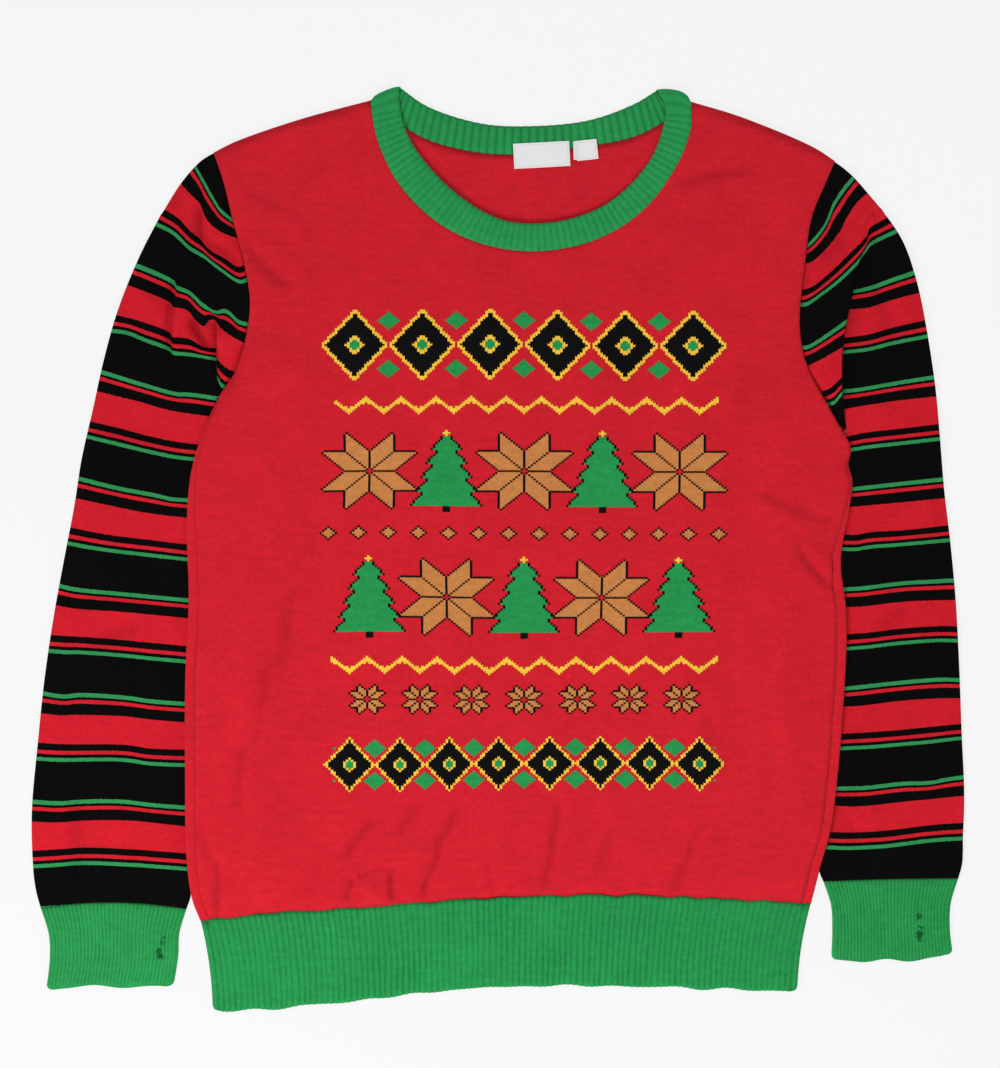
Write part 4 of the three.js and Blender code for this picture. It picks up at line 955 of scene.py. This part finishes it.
def hem_back():
    spans = 300
    shares = np.concatenate([np.linspace(1, 0.93, 8), np.linspace(0.93, 0, 10)[1:]])
    rows = len(shares)
    plan = [hem_row(share, spans, 0) for share in shares]
    left = np.array([row[0] for row in plan])
    right = np.array([row[-1] for row in plan])
    round_in = rounding(hem_height_below(shares))
    left[:, 0] += round_in
    right[:, 0] -= round_in
    inner_plan = [row[5:-5] for row in plan]
    pitch = 4.7
    outer, inner, uv, ribs = turned(left, right, inner_plan, np.ones(rows),
                                    SIDE_TURN - 0.9 * round_in, lambda x, i: 0.0 * x, SHELL / 2,
                                    pitch=pitch, dip=0.2)
    turn_top = np.clip((outer[..., 2] - inner[..., 2]) / SHELL, 0, 1)[..., None]
    for skin in (outer, inner):
        skin += turn_top * np.array([0, 0, 1.0])
    # Painted shade in the rib troughs
    return shell("hem_band_back", inner, outer, RIB, uv, (1 - ribs) * 0.55)


# Sleeves and cuffs

MIDDLE_HIGH = FRONT_LEVEL + CLOTH - SHELL / 2
MIDDLE_LOW = SHELL / 2
EDGE_PULL = TUBE_HEIGHT / 2
FLAP_ROWS = 16         # from the armhole seam to the fold's lip


def section_lines(table, rows, spans):
    """Fine sections along a tube, each a bowed line from the outline inwards."""
    fine = curve(table, rows)
    u = np.linspace(0, 1, spans + 1)[None, :, None]
    start, end = fine[:, None, 0:2], fine[:, None, 2:4]
    along = (end - start) / np.linalg.norm(end - start, axis=2, keepdims=True)
    start, end = start + along * EDGE_PULL, end - along * EDGE_PULL
    lines = start * (1 - u) + end * u
    lines[..., 1] += fine[:, None, 4] * (4 * u * (1 - u))[..., 0]
    return lines


def tube(upper, high, low, half, rise, low_rise, lower_spans):
    """Skins of a flattened tube. upper holds the sections' lines; high and low are the heights
    of the wall's middle above and below; rise is added to the upper skin's outside."""
    arc = 8
    count = upper.shape[1]

    def skin(side):
        lift = rise if side > 0 else 0.0
        top = stack(upper, high + side * half + lift)
        share = np.linspace(1, 0, lower_spans + 1)
        place = share * (count - 1)
        i = np.minimum(np.floor(place).astype(int), count - 2)
        t = (place - i)[None, :, None]
        plan = upper[:, i] * (1 - t) + upper[:, i + 1] * t
        level = low[:, i] * (1 - t[..., 0]) + low[:, i + 1] * t[..., 0]
        dent = low_rise if side > 0 else 0.0
        bottom = stack(plan, level - side * half + dent)
        ends = []
        for end, toward, j, turn in ((-1, -2, -1, 1), (0, 1, 0, -1)):
            away = upper[:, end] - upper[:, toward]
            away /= np.linalg.norm(away, axis=1)[:, None]
            angle = np.linspace(0, math.pi, arc + 1)[1:-1][::turn][None, :]
            radius = (high[:, j] - low[:, j])[:, None] / 2 + side * half
            plan_arc = upper[:, end][:, None] + away[:, None] * (radius * np.sin(angle))[..., None]
            mid = (high[:, j] + low[:, j])[:, None] / 2
            edge_lift = lift[:, j][:, None] if side > 0 and np.ndim(lift) else 0.0
            z = mid + radius * np.cos(angle) + edge_lift * np.clip(np.cos(angle), 0, 1)
            ends.append(stack(plan_arc, z))
        return np.concatenate([top, ends[0], bottom, ends[1]], 1)

    return skin(1), skin(-1), arc - 1


def course_at(x, y, lines):
    """Place in the striping, in repeats, from the lines across the sleeve."""
    levels = []
    for _, line in lines:
        p = curve(line, 300)
        first = (p[9, 1] - p[0, 1]) / (p[9, 0] - p[0, 0])
        last = (p[-1, 1] - p[-10, 1]) / (p[-1, 0] - p[-10, 0])
        level = np.interp(x, p[:, 0], p[:, 1])
        level = level + np.where(x < p[0, 0], (x - p[0, 0]) * first, 0.0)
        levels.append(level + np.where(x > p[-1, 0], (x - p[-1, 0]) * last, 0.0))
    places = [place for place, _ in lines]
    course = np.maximum(places[0] + (levels[0] - y) / REPEAT, CAP_PLACE)
    for k in range(len(lines) - 1):
        gap = np.maximum(levels[k] - levels[k + 1], 1.0)
        inside = places[k] + (places[k + 1] - places[k]) * (levels[k] - y) / gap
        course = np.where(y < levels[k], np.minimum(inside, places[k + 1]), course)
    past = places[-1] + (levels[-1] - y) / REPEAT
    return np.where(y < levels[-1], past, course)


def seam_lift(share):
    """Lift of the sleeve beside the armhole seam, from the shoulder down to the underarm."""
    up = 1 - share
    lift = LIFT * (1 - smooth((up - ARMHOLE_LIFT_END) / ARMHOLE_LIFT_RUN))
    return lift * (1 - smooth((share - SEAM_DROP_START) / SEAM_DROP_RUN))


def sleeve(name, table, armhole, fold, brow, fold_start, outward, lines, flap_lines, side, seed):
    spans = 84
    u = np.linspace(0, 1, spans + 1)
    seam = offset(curve(armhole, spans)[::-1], outward * 0.1)
    lip = curve(fold, spans)
    foot = offset(lip, outward * FOLD_FOOT)
    stands = smooth((u - fold_start) / 0.12)
    flap_rise = 2.0 * stands * smooth((1.02 - u) / 0.16)
    plan, high, is_flap = [], [], []
    for t in np.linspace(0, 1, FLAP_ROWS):
        plan.append(mix(seam, lip, t))
        lift = seam_lift(u) * mix(1.0, stands, smooth(t))
        swell = flap_rise * smooth(t / 0.5) + 0.5 * math.sin(math.pi * t)
        high.append(MIDDLE_HIGH + lift + swell - 0.7 * math.exp(-(t / 0.10) ** 2))
        is_flap.append(True)
    top_of_lip = high[-1]
    for k in (0.05, 0.11, 0.18, 0.19, 0.26, 0.36, 0.52, 0.75):
        plan.append(mix(lip, foot, k))
        high.append(mix(top_of_lip, np.full(spans + 1, MIDDLE_HIGH), smooth(k / 0.36)))
        is_flap.append(k < 0.185)
    sections = section_lines(table, len(table) * 3, spans)
    lined = np.concatenate([foot[None], sections])
    fine = np.stack([curve(lined[:, j], 170) for j in range(spans + 1)], 1)
    plan = np.concatenate([np.array(plan), fine])
    high = np.concatenate([np.array(high), np.full(fine.shape[:2], MIDDLE_HIGH)])
    is_flap = np.array(is_flap + [False] * len(fine))
    # The rows' outer ends are brought onto the outline at the shoulder
    outline = offset(curve(brow, 1200), -outward * EDGE_PULL)
    away = np.linalg.norm(plan[:, 0][:, None] - outline[None], axis=2)
    nearest = np.maximum.accumulate(away.argmin(1))
    shift = np.where((nearest < len(outline) - 1)[:, None], outline[nearest] - plan[:, 0], 0.0)
    plan = plan + shift[:, None] * (1 - smooth(u / 0.14))[None, :, None]
    low = np.full(high.shape, MIDDLE_LOW)
    x, y = plan[..., 0], plan[..., 1]
    # Folds show only on the part that isn't below the body
    side_curve = curve(side, 300)
    order = np.argsort(side_curve[:, 1])
    edge_x = np.interp(y, side_curve[order, 1], side_curve[order, 0])
    clear = smooth(((x - edge_x) * outward - 2.0) / 12.0)
    clear = np.where(y > side_curve[:, 1].max(), 1.0, clear)
    clear[:FLAP_ROWS] = smooth(np.linspace(0, 1, FLAP_ROWS) / 0.3)[:, None]
    round_off = smooth(u / 0.10) * smooth((1 - u) / 0.06)
    soft = 0.45 * field(x, y, 60.0, seed) + 0.35 * field(x, y, 30.0, seed + 1)
    soft += 0.14 * field(x, y, 12.0, seed + 2)
    puff = 1.0 * (1 - np.abs(2 * u - 1) ** 4)[None, :]
    folds = (creases(x, y, SLEEVE_CREASES) - tucks(x, y, SLEEVE_TUCKS)) * clear
    rise = clear * round_off[None, :] * (0.5 + soft + puff * 0.8)
    flat_part = smooth(np.linspace(0, 1, FLAP_ROWS))[:, None] * (1 - stands[None])
    rise[:FLAP_ROWS] *= mix(0.35, 1.0, flat_part)
    rise += folds * round_off[None, :]
    rise -= 1.0 * bell(y - y[-1:], 3.0) * (np.arange(len(y)) > len(y) - 20)[:, None]
    outer, inner, _ = tube(plan, high, low, SHELL / 2, rise, 0.0, 30)
    flap = np.zeros(outer.shape[:2], bool)
    flap[:, :spans + 1] = is_flap[:, None]
    course = course_at(outer[..., 0], outer[..., 1], lines)
    course = np.where(flap, course_at(outer[..., 0], outer[..., 1], flap_lines), course)
    # Painted shade along the armhole seam and at the cuff seam, a painted shadow beside the fold's lip, and
    # painted shade in the troughs of the folds
    shade = np.zeros(outer.shape[:2])
    rows_at = np.arange(len(outer))[:, None]
    shade += 0.5 * bell(rows_at, 0.9)
    shade[-1:] += 0.6
    beside = np.exp(-np.linalg.norm(plan - lip[None], axis=2) / 5.5) * stands[None]
    beside[:FLAP_ROWS] = 0.0
    shade[:, :spans + 1] += 1.1 * beside + 0.30 * np.clip(-folds, 0, 2.5)
    uv = np.stack([outer[..., 0], -course * REPEAT], -1)
    return shell(name, outer, inner, STRIPED, uv, shade, course, ring=True)


def cuff(name, table, seed):
    steps = 6
    spans = CUFF_RIBS * steps
    rows = 30
    even = section_lines(table, rows, spans)
    place = np.concatenate([np.arange(rows - 1.0), rows - np.array([1.7, 1.2, 0.8, 0.5, 0.25, 0.1, 0.0])])
    i = np.minimum(np.floor(place).astype(int), rows - 1)
    part = (place - i)[:, None, None]
    plan = even[i] * (1 - part) + even[i + 1] * part
    share = (place / rows)[:, None]
    # Rounded lower corners and an uneven lower edge
    u = np.linspace(0, 1, spans + 1)[None, :]
    length = table[0][1] - table[-1][1]
    inward = rounding((1 - share) * length)
    away = (even[-1, -1] - even[-1, 0]) / np.linalg.norm(even[-1, -1] - even[-1, 0])
    reach = bell(u, 0.06) - bell(1 - u, 0.06)
    plan = plan + (inward * reach)[..., None] * away
    plan[..., 1] += wobble(plan[..., 0], seed, 42.0, 1.0) * smooth((share - 0.5) / 0.5)
    x, y = plan[..., 0], plan[..., 1]
    phase = np.arange(spans + 1)[None, :] / steps + 0.16 * field(x * 2, y, 18.0, seed)
    wave = rib_wave(phase)
    rise = 0.8 * RIB_RISE * (0.8 + 0.2 * field(x, y, 14.0, seed + 1)) * wave
    rise = rise + 0.35 * field(x, y, 30.0, seed + 2)
    rise -= 1.0 * bell(share, 0.05) + 0.8 * bell(1 - share, 0.04)
    high = np.full(plan.shape[:2], FRONT_LEVEL + RIB_WALL - SHELL / 2)
    low = np.full(plan.shape[:2], MIDDLE_LOW)
    lower = CUFF_RIBS * 4
    low_wave = rib_wave(np.arange(lower + 1)[None, :] / 4)
    outer, inner, arc = tube(plan, high, low, SHELL / 2, rise, 0.5 * (1 - low_wave), lower)
    # Painted shade in the rib troughs on both sides and along the seam at the top
    shade = np.zeros(outer.shape[:2])
    shade[:, :spans + 1] = (1 - wave) * (0.90 + 0.32 * field(x * 2, y, 8.0, seed + 3))
    shade[:, spans + 1 + arc:spans + 1 + arc + lower + 1] = (1 - low_wave) * 0.9
    shade[0] = 0.4
    across = np.linalg.norm(np.diff(outer[..., :2], axis=1, prepend=outer[:, :1, :2]), axis=2).cumsum(1)
    uv = np.stack([across, outer[..., 1]], -1)
    return shell(name, outer, inner, CUFF_RIB, uv, shade, ring=True)


# Collar


BAND_OVER = 0.9        # the band's outer edge lies this far over the body
BAND_WIDTH = 24.0
FRONT_LENGTH, BACK_LENGTH = 420.0, 270.0     # along each half, for the reach of the folds
LEFT_BULGE, RIGHT_BULGE = 1.0, 3.2           # of the folds at the shoulders


def at_share(points, share):
    place = np.asarray(share) * (len(points) - 1)
    i = np.minimum(np.floor(place).astype(int), len(points) - 2)
    t = (place - i)[..., None]
    return points[i] * (1 - t) + points[i + 1] * t


def squared(starts, free, share, end, upright):
    """Shares of the free edge that lie square to the seam's points, or partly straight above
    them; at both ends they run together into the fold."""
    gap = np.linalg.norm(free[None] - starts[:, None], axis=2)
    square = gap.argmin(1) / (len(free) - 1)
    above = np.interp(starts[:, 0], free[:, 0], np.linspace(0, 1, len(free)))
    wanted = mix(square, above, upright) if upright else square
    ends = np.where(share < 0.5, end, 1 - end)
    wanted = mix(ends, wanted, smooth(np.minimum(share, 1 - share) / 0.03))
    return np.maximum.accumulate(np.clip(wanted, end, 1 - end))


def collar():
    steps = 8
    front_seam = offset(curve(NECK_FRONT, 400), -BAND_OVER)
    back_seam = offset(curve(NECK_BACK, 400), -0.2)
    front_free, back_free = curve(FREE_FRONT, 3000), curve(FREE_BACK, 3000)
    low_middle = RIB_WALL / 2
    high_middle = low_middle + 2 * FOLD_RADIUS
    seam_middle = FRONT_LEVEL + COLLAR_STAND + RIB_WALL / 2
    k = np.arange(COLLAR_FRONT_RIBS * steps + 1)
    share = mix(0.002, 0.998, k / k[-1])
    level = mix(high_middle, seam_middle, smooth(np.minimum(share, 1 - share) / 0.1))
    starts = at_share(front_seam, share)
    ends = at_share(front_free, squared(starts, front_free, share, 0.008, 0.0))
    columns = [{"seam": np.append(s, z), "free": np.append(f, z), "face": np.array([0, 0, 1.0]),
                "phase": n / steps, "from_end": (t * FRONT_LENGTH, (1 - t) * FRONT_LENGTH)}
               for s, f, z, n, t in zip(starts, ends, level, k, share)]
    k = np.arange(COLLAR_BACK_RIBS * steps + 1)
    share = mix(0.006, 0.994, k / k[-1])
    starts = at_share(back_seam, share)
    ends = at_share(back_free, squared(starts, back_free, share, 0.012, 0.4))
    back = [{"seam": np.append(s, low_middle), "free": np.append(f, low_middle),
             "face": np.array([0, 0, -1.0]), "phase": n / steps,
             "from_end": (t * BACK_LENGTH, (1 - t) * BACK_LENGTH)}
            for s, f, n, t in zip(starts, ends, k, share)][::-1]

    def fold_over(front, behind, sign):
        line = (front["free"] - front["seam"]) * [1, 1, 0]
        line /= np.linalg.norm(line)
        away = np.array([-line[1] * sign, line[0] * sign, 0.0])
        made = []
        for turn in np.linspace(0, 1, 18)[1:-1]:
            angle = math.pi * turn
            bulge = FOLD_RADIUS * math.sin(angle)
            height = low_middle + FOLD_RADIUS + FOLD_RADIUS * math.cos(angle)
            seam = mix(front["seam"], behind["seam"], turn)
            free = mix(front["free"], behind["free"], turn)
            seam[2] = free[2] = height
            seam = seam + line * 1.2 * math.sin(angle) + away * bulge * 0.4
            free = free + away * bulge
            face = away * math.sin(angle) + np.array([0, 0, math.cos(angle)])
            made.append({"seam": seam, "free": free, "face": face, "phase": turn * 2,
                         "from_end": (999.0, 0.0) if sign < 0 else (0.0, 999.0)})
        return made, away

    right_fold, right_away = fold_over(columns[-1], back[0], -1)
    left_fold, left_away = fold_over(columns[0], back[-1], 1)
    ring = columns + right_fold + back + left_fold[::-1]
    across = 12
    w = np.linspace(0, 1, across + 1)
    seam = np.array([c["seam"] for c in ring])
    free = np.array([c["free"] for c in ring])
    face = np.array([c["face"] for c in ring])
    phase = np.array([c["phase"] for c in ring])
    wave = rib_wave(phase)
    grid = seam[None] * (1 - w[:, None, None]) + free[None] * w[:, None, None]
    # The fold at each shoulder bulges upwards, more at the right
    near = bell(np.array([c["from_end"] for c in ring]), 9.0)
    bow = near[:, :1] * left_away * LEFT_BULGE + near[:, 1:] * right_away * RIGHT_BULGE
    grid = grid + bow[None] * np.sin(math.pi * w ** 0.66)[:, None, None]
    line = (free - seam) / np.maximum(np.linalg.norm(free - seam, axis=1)[:, None], 1e-6)
    line[:, 2] = 0
    # Ribs make both edges of the band slightly toothed
    tooth = 0.28 * (wave[None, :, None] - 0.5)
    grid = grid + line[None] * tooth * (2 * w - 1)[:, None, None] ** 3
    dome = 1 - np.abs(2 * w - 1) ** 3.5
    uneven = 0.25 * field(grid[..., 0], grid[..., 1], 30.0, 61)
    top_side = np.sign(face[:, 2])[None, :, None]
    rounded = (0.75 * dome[:, None] + uneven * dome[:, None])[..., None]
    strength = mix(1.0, 0.65, (face[:, 2] + 1) / 2)
    rib = (RIB_RISE * wave * strength)[None, :, None] * np.ones((across + 1, 1, 1))
    edge_soft = smooth(np.minimum(w, 1 - w) / 0.10)[:, None, None]
    half = SHELL / 2
    swell = face[None] * rounded * top_side
    outer = grid + swell + face[None] * (half + rib * (0.35 + 0.65 * edge_soft))
    inner = grid + swell - face[None] * (half + rib * (0.35 + 0.65 * edge_soft) * 0.75)
    outer[..., 2] = np.maximum(outer[..., 2], 0.0)      # flat where it lies on the floor
    inner[..., 2] = np.maximum(inner[..., 2], 0.0)
    length = np.linalg.norm(np.diff(seam[:, :2], axis=0, prepend=seam[:1, :2]), axis=1).cumsum()
    uv = np.stack(np.broadcast_arrays(length[None, :], w[:, None] * BAND_WIDTH), -1)
    # Painted shade in the rib troughs, stronger on the back half
    depth = mix(0.90, 0.48, (face[:, 2] + 1) / 2)
    shade = np.broadcast_to(((1 - wave) * depth)[None, :], grid.shape[:2])
    return shell("neck_band", outer, inner, NECK_RIB, uv, shade, ring=True)


# Chest design

DESIGN_MIDDLE = 19.5   # across
DESIGN_TOP = 190.0
DESIGN_STITCHES = 164
DESIGN_COURSES = 248
DESIGN_RISE = 0.30     # of the coloured stitches above the panel
STITCH_DIP = 0.10      # of each stitch's middle
LOZENGE_REACH, LINE_REACH, SMALL_REACH = 80, 77, 76    # to each side of the middle, in stitches
NONE, BLACK, GOLD, TAN, GREEN = 0, 1, 2, 3, 4


def lozenge_band(dx, dy, reach, period, half_height):
    """A row of black lozenges outlined in gold, with a small green one at every joint."""
    if abs(dx) > LOZENGE_REACH:
        return NONE
    place = dx % period - period / 2
    size = abs(place) / reach + abs(dy) / half_height
    if size <= 0.32:
        return GOLD if 0.2 < size else GREEN
    if size <= 1.0:
        return BLACK
    if size <= 1.14:
        return GOLD
    between = abs((dx + period / 2) % period - period / 2)
    if abs(dx) > SMALL_REACH:
        return NONE
    if between / 4.0 + abs(abs(dy) - half_height + 4) / 4.0 <= 1.0:
        return GREEN
    return NONE


def star(dx, dy, size):
    """An eight-petalled star with black lines round and between its petals."""
    def petal(a, b):
        low, high = min(abs(a), abs(b)), max(abs(a), abs(b))
        return 1 <= low <= size and 1 <= high - low <= size

    if petal(dx, dy):
        return TAN
    for a, b in ((1, 0), (-1, 0), (0, 1), (0, -1)):
        if petal(dx + a, dy + b):
            return BLACK
    return NONE


def fir(dx, dy, tiers, depth):
    """A fir of stepped tiers with a gold tip and a black trunk; dy counts down from its top."""
    if dy < 3:
        return GOLD if abs(dx) <= (1 if dy == 1 else 0) and dy >= 0 else NONE
    down = dy - 3
    if down < tiers * depth:
        tier, step = divmod(down, depth)
        reach = 1 + tier * 2 + step * 3 // 4
        if abs(dx) <= reach:
            return GREEN
        return BLACK if abs(dx) == reach + 1 else NONE
    if down < tiers * depth + 3 and abs(dx) <= 1:
        return BLACK
    return NONE


def zigzag(dx, dy, period, height):
    """A gold zigzag line two stitches thick."""
    if abs(dx) > LINE_REACH:
        return NONE
    line = abs((dx % period) - period / 2) / (period / 2) * height
    return GOLD if abs(dy - line) < 1.2 else NONE


def figure_row(dx, dy, first):
    """Stars and firs in turn; first is the kind at both ends, dy counts down from a fir's top."""
    for place, centre in enumerate((-62, -31, 0, 31, 62)):
        if abs(dx - centre) < 20:
            is_star = (place % 2 == 0) == (first == "star")
            found = star(dx - centre, dy - 20, 9) if is_star else fir(dx - centre, dy, 5, 7)
            if found:
                return found
    return NONE


def diamond_row(dx, dy):
    """Small tan diamonds outlined in black."""
    size = abs((dx % 12) - 6) + abs(dy)
    return TAN if size <= 2 else (BLACK if size == 3 else NONE)


def small_star_row(dx, dy):
    place = (dx + 10.5) % 21 - 10.5
    return star(int(round(place)), dy, 3) if abs(dx) < SMALL_REACH else NONE


# The course where each row of the design ends, and the row
DESIGN_ROWS = [
    (42, lambda dx, j: lozenge_band(dx, j - 19, 11.8, 27.0, 16.0)),
    (58, lambda dx, j: zigzag(dx, j - 46, 14.0, 6.0)),
    (108, lambda dx, j: figure_row(dx, j - 62, "star")),
    (120, lambda dx, j: diamond_row(dx, j - 113)),
    (172, lambda dx, j: figure_row(dx, j - 125, "fir")),
    (188, lambda dx, j: zigzag(dx, j - 176, 14.0, 6.0)),
    (206, lambda dx, j: small_star_row(dx, j - 196)),
    (DESIGN_COURSES, lambda dx, j: lozenge_band(dx, j - 228, 8.8, 20.0, 12.0)),
]


def design(i, j):
    """Colour of the stitch i across and j courses down from the top."""
    row = next(row for end, row in DESIGN_ROWS if j < end)
    return row(i - DESIGN_STITCHES // 2, j)


def chest_design():
    """Each coloured stitch is a small V of two legs on the front panel."""
    wide, tall = STITCH_WIDE, STITCH_TALL
    drop = 0.45 * tall
    points, faces, finish = [], [], []
    left = DESIGN_MIDDLE - DESIGN_STITCHES * wide / 2
    for j in range(DESIGN_COURSES):
        for i in range(DESIGN_STITCHES):
            colour = design(i, j)
            if colour == NONE:
                continue
            x, y = left + i * wide, DESIGN_TOP - j * tall
            start = len(points)
            points += [(x, y), (x + wide / 2, y - drop), (x + wide, y),
                       (x, y - tall), (x + wide / 2, y - tall - drop), (x + wide, y - tall)]
            for leg in (start, start + 1):
                faces.append((leg, leg + 3, leg + 4, leg + 1))
            finish += [colour - 1] * 2
    points = np.array(points)
    bend = 0.9 * field(points[:, 0], points[:, 1], 70.0, 71)
    rise = 1.1 * field(points[:, 0], points[:, 1], 90.0, 72)
    x, y = points[:, 0] + bend, points[:, 1] + rise
    z = FRONT_LEVEL + CLOTH + relief(x, y) + DESIGN_RISE
    centre = np.zeros(len(points), bool)
    centre[1::6] = centre[4::6] = True
    z[centre] -= STITCH_DIP
    yarns = [cloth_material(f"yarn_{name}", name, 0.3, 0.22)
             for name in ("black", "gold", "tan", "green")]
    made = mesh_object("chest_design", np.stack([x, y, z], 1), np.array(faces), yarns,
                       points, {"shade": np.zeros(len(points))})
    made.data.polygons.foreach_set("material_index", np.array(finish, np.int32))
    up = np.array([p.normal.z for p in made.data.polygons[:8]])
    if up.mean() < 0:
        made.data.flip_normals()
    return made


# Labels and threads


def label(name, corner, width, length, tilt, levels, curl, material):
    """A woven label: corner is its upper left one, levels its heights from top to bottom."""
    angle = math.radians(tilt)
    right = np.array([math.cos(angle), math.sin(angle)])
    down = np.array([math.sin(angle), -math.cos(angle)])
    u, v = np.linspace(0, 1, 89), np.linspace(0, 1, 45)
    plan = (np.array(corner) + u[None, :, None] * width * right + v[:, None, None] * length * down)
    border = np.minimum(np.minimum(u, 1 - u)[None, :] * width, np.minimum(v, 1 - v)[:, None] * length)
    z = mix(levels[0], levels[1], smooth(v))[:, None] + curl * (u[None, :] ** 3) * v[:, None]
    z = z + 0.12 * np.sin(u * 9 + 1)[None, :] + 0.10 * smooth(1 - border / 1.2)
    outer, inner = stack(plan, z + 0.35), stack(plan, z)
    line = bell(border - 1.5, 0.35)
    return shell(name, outer, inner, material, plan, line)


def thread(name, points, radius, material):
    """A short loose thread through points in millimetres."""
    data = bpy.data.curves.new(name, "CURVE")
    data.dimensions = "3D"
    data.bevel_depth = radius * MM
    data.bevel_resolution = 2
    data.resolution_u = 6
    spline = data.splines.new("BEZIER")
    spline.bezier_points.add(len(points) - 1)
    for place, point in zip(spline.bezier_points, points):
        place.co = [float(v) for v in (np.array(point) + ORIGIN) * MM]
        place.handle_left_type = place.handle_right_type = "AUTO"
    data.materials.append(material)
    drawn = linked(name, data)
    evaluated = drawn.evaluated_get(bpy.context.evaluated_depsgraph_get())
    mesh = bpy.data.meshes.new_from_object(evaluated)
    made = linked(name, mesh)
    bpy.data.objects.remove(drawn)
    return made


front = body_front()
back = body_back()
hem_f = hem_front()
hem_b = hem_back()
left_sleeve = sleeve("left_sleeve", SLEEVE_LEFT, ARMHOLE_LEFT, FOLD_LEFT, BROW_LEFT, FOLD_START_LEFT,
                     -1, STRIPES_LEFT, FLAP_STRIPES_LEFT, SIDE_LEFT, 81)
right_sleeve = sleeve("right_sleeve", SLEEVE_RIGHT, ARMHOLE_RIGHT, FOLD_RIGHT, BROW_RIGHT,
                      FOLD_START_RIGHT, 1, STRIPES_RIGHT, FLAP_STRIPES_RIGHT, SIDE_RIGHT, 91)
left_cuff = cuff("left_cuff", CUFF_LEFT, 101)
right_cuff = cuff("right_cuff", CUFF_RIGHT, 111)
band = collar()
chest = chest_design()

WOVEN = woven_material("label_white", "label")
THREAD = thread_material("thread_green", "thread", 0.8, 0.1)
main_label = label("main_label", (11.7, 316.2), 43.8, 19.6, 3, (2.9, 2.35), 0.5, WOVEN)
size_label = label("small_label", (60.2, 318.3), 16.6, 15.6, 6, (2.9, 2.4), 1.2, WOVEN)
size_under = label("small_label_under", (58.6, 318.0), 15.4, 14.2, 2, (2.5, 1.95), 0.0, WOVEN)

# Tack stitches left in the cuffs, loosely tangled
TACKS = 7              # in each cuff
TACK_POINTS = 5
TACK_LEVEL = 4.75
TACK_RADIUS = 0.32
snags = []
for side, (x, top, low) in (("left", (-263.5, -301.5, -318.0)), ("right", (328.5, -282.0, -304.0))):
    rng = np.random.default_rng(len(side))
    for n in range(TACKS):
        down = rng.uniform(0, 1)
        middle = (x + rng.uniform(-3.4, 3.4) * (1 - 0.5 * down), mix(top, low, down))
        path = [(middle[0] + rng.uniform(-2.4, 2.4), middle[1] + rng.uniform(-2.2, 2.2),
                 TACK_LEVEL + rng.uniform(-0.5, 0.5)) for _ in range(TACK_POINTS)]
        snags.append(thread(f"tack_{side}_{n}", path, TACK_RADIUS, THREAD))

pairs = [(front, "body_front"), (back, "body_back"), (hem_f, "hem_front"), (hem_b, "hem_back"),
         (left_sleeve, "sleeve_left"), (right_sleeve, "sleeve_right"),
         (left_cuff, "cuff_left"), (right_cuff, "cuff_right"), (band, "collar"),
         (main_label, "label_main"), (size_label, "label_size")]
for piece, node in pairs:
    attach(piece, "root")
    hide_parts(node)
for piece in [chest, size_under] + snags:
    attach(piece, "root")

# Studio

FLOOR_REACH = 3.0      # metres to each side
FLOOR_LEVEL = -0.0004
FLOOR_GLOW = 0.80
STUDIO_LIGHT = 0.62
floor_mesh = bpy.data.meshes.new("floor")
floor_mesh.from_pydata([(x * FLOOR_REACH, y * FLOOR_REACH, FLOOR_LEVEL)
                        for x, y in ((-1, -1), (1, -1), (1, 1), (-1, 1))], [], [(0, 1, 2, 3)])
floor = linked("floor", floor_mesh)
floor_look = Graph("floor_pale")
floor_look.shader.inputs["Base Color"].default_value = LINEAR["floor"]
floor_look.shader.inputs["Roughness"].default_value = 0.9
floor_look.shader.inputs["Specular IOR Level"].default_value = 0.0
floor_look.shader.inputs["Emission Color"].default_value = (1, 1, 1, 1)
floor_look.shader.inputs["Emission Strength"].default_value = FLOOR_GLOW
floor_mesh.materials.append(floor_look.material)
floor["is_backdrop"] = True

world = bpy.data.worlds.new("studio")
bpy.context.scene.world = world
world.use_nodes = True
world.node_tree.nodes["Background"].inputs["Color"].default_value = (1.0, 1.0, 1.0, 1)
world.node_tree.nodes["Background"].inputs["Strength"].default_value = STUDIO_LIGHT
bpy.context.scene.view_settings.view_transform = "Standard"


def area_light(name, place, aim, size, power):
    data = bpy.data.lights.new(name, "AREA")
    data.shape = "SQUARE"
    data.size = size
    data.energy = power
    lamp = linked(name, data)
    lamp.location = place
    lamp.rotation_euler = (Vector(aim) - Vector(place)).to_track_quat("-Z", "Y").to_euler()


area_light("key", (-0.7, -1.3, 1.2), (0, 0, 0), 0.8, 24.0)
area_light("fill", (1.2, 0.6, 1.8), (0, 0, 0), 1.4, 5.0)

# Straight down; the view is as tall as what the photograph shows
VIEW_TALL = 833.0
VIEW_MIDDLE = (1.5, 13.2)
CAMERA_HEIGHT = 2.6    # metres
SENSOR = 36.0
camera_data = bpy.data.cameras.new("camera")
camera_data.sensor_width = SENSOR
camera_data.lens = SENSOR * CAMERA_HEIGHT / (VIEW_TALL * MM)
camera = linked("camera", camera_data)
camera.location = (VIEW_MIDDLE[0] * MM, VIEW_MIDDLE[1] * MM, CAMERA_HEIGHT)
bpy.context.scene.camera = camera

low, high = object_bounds()
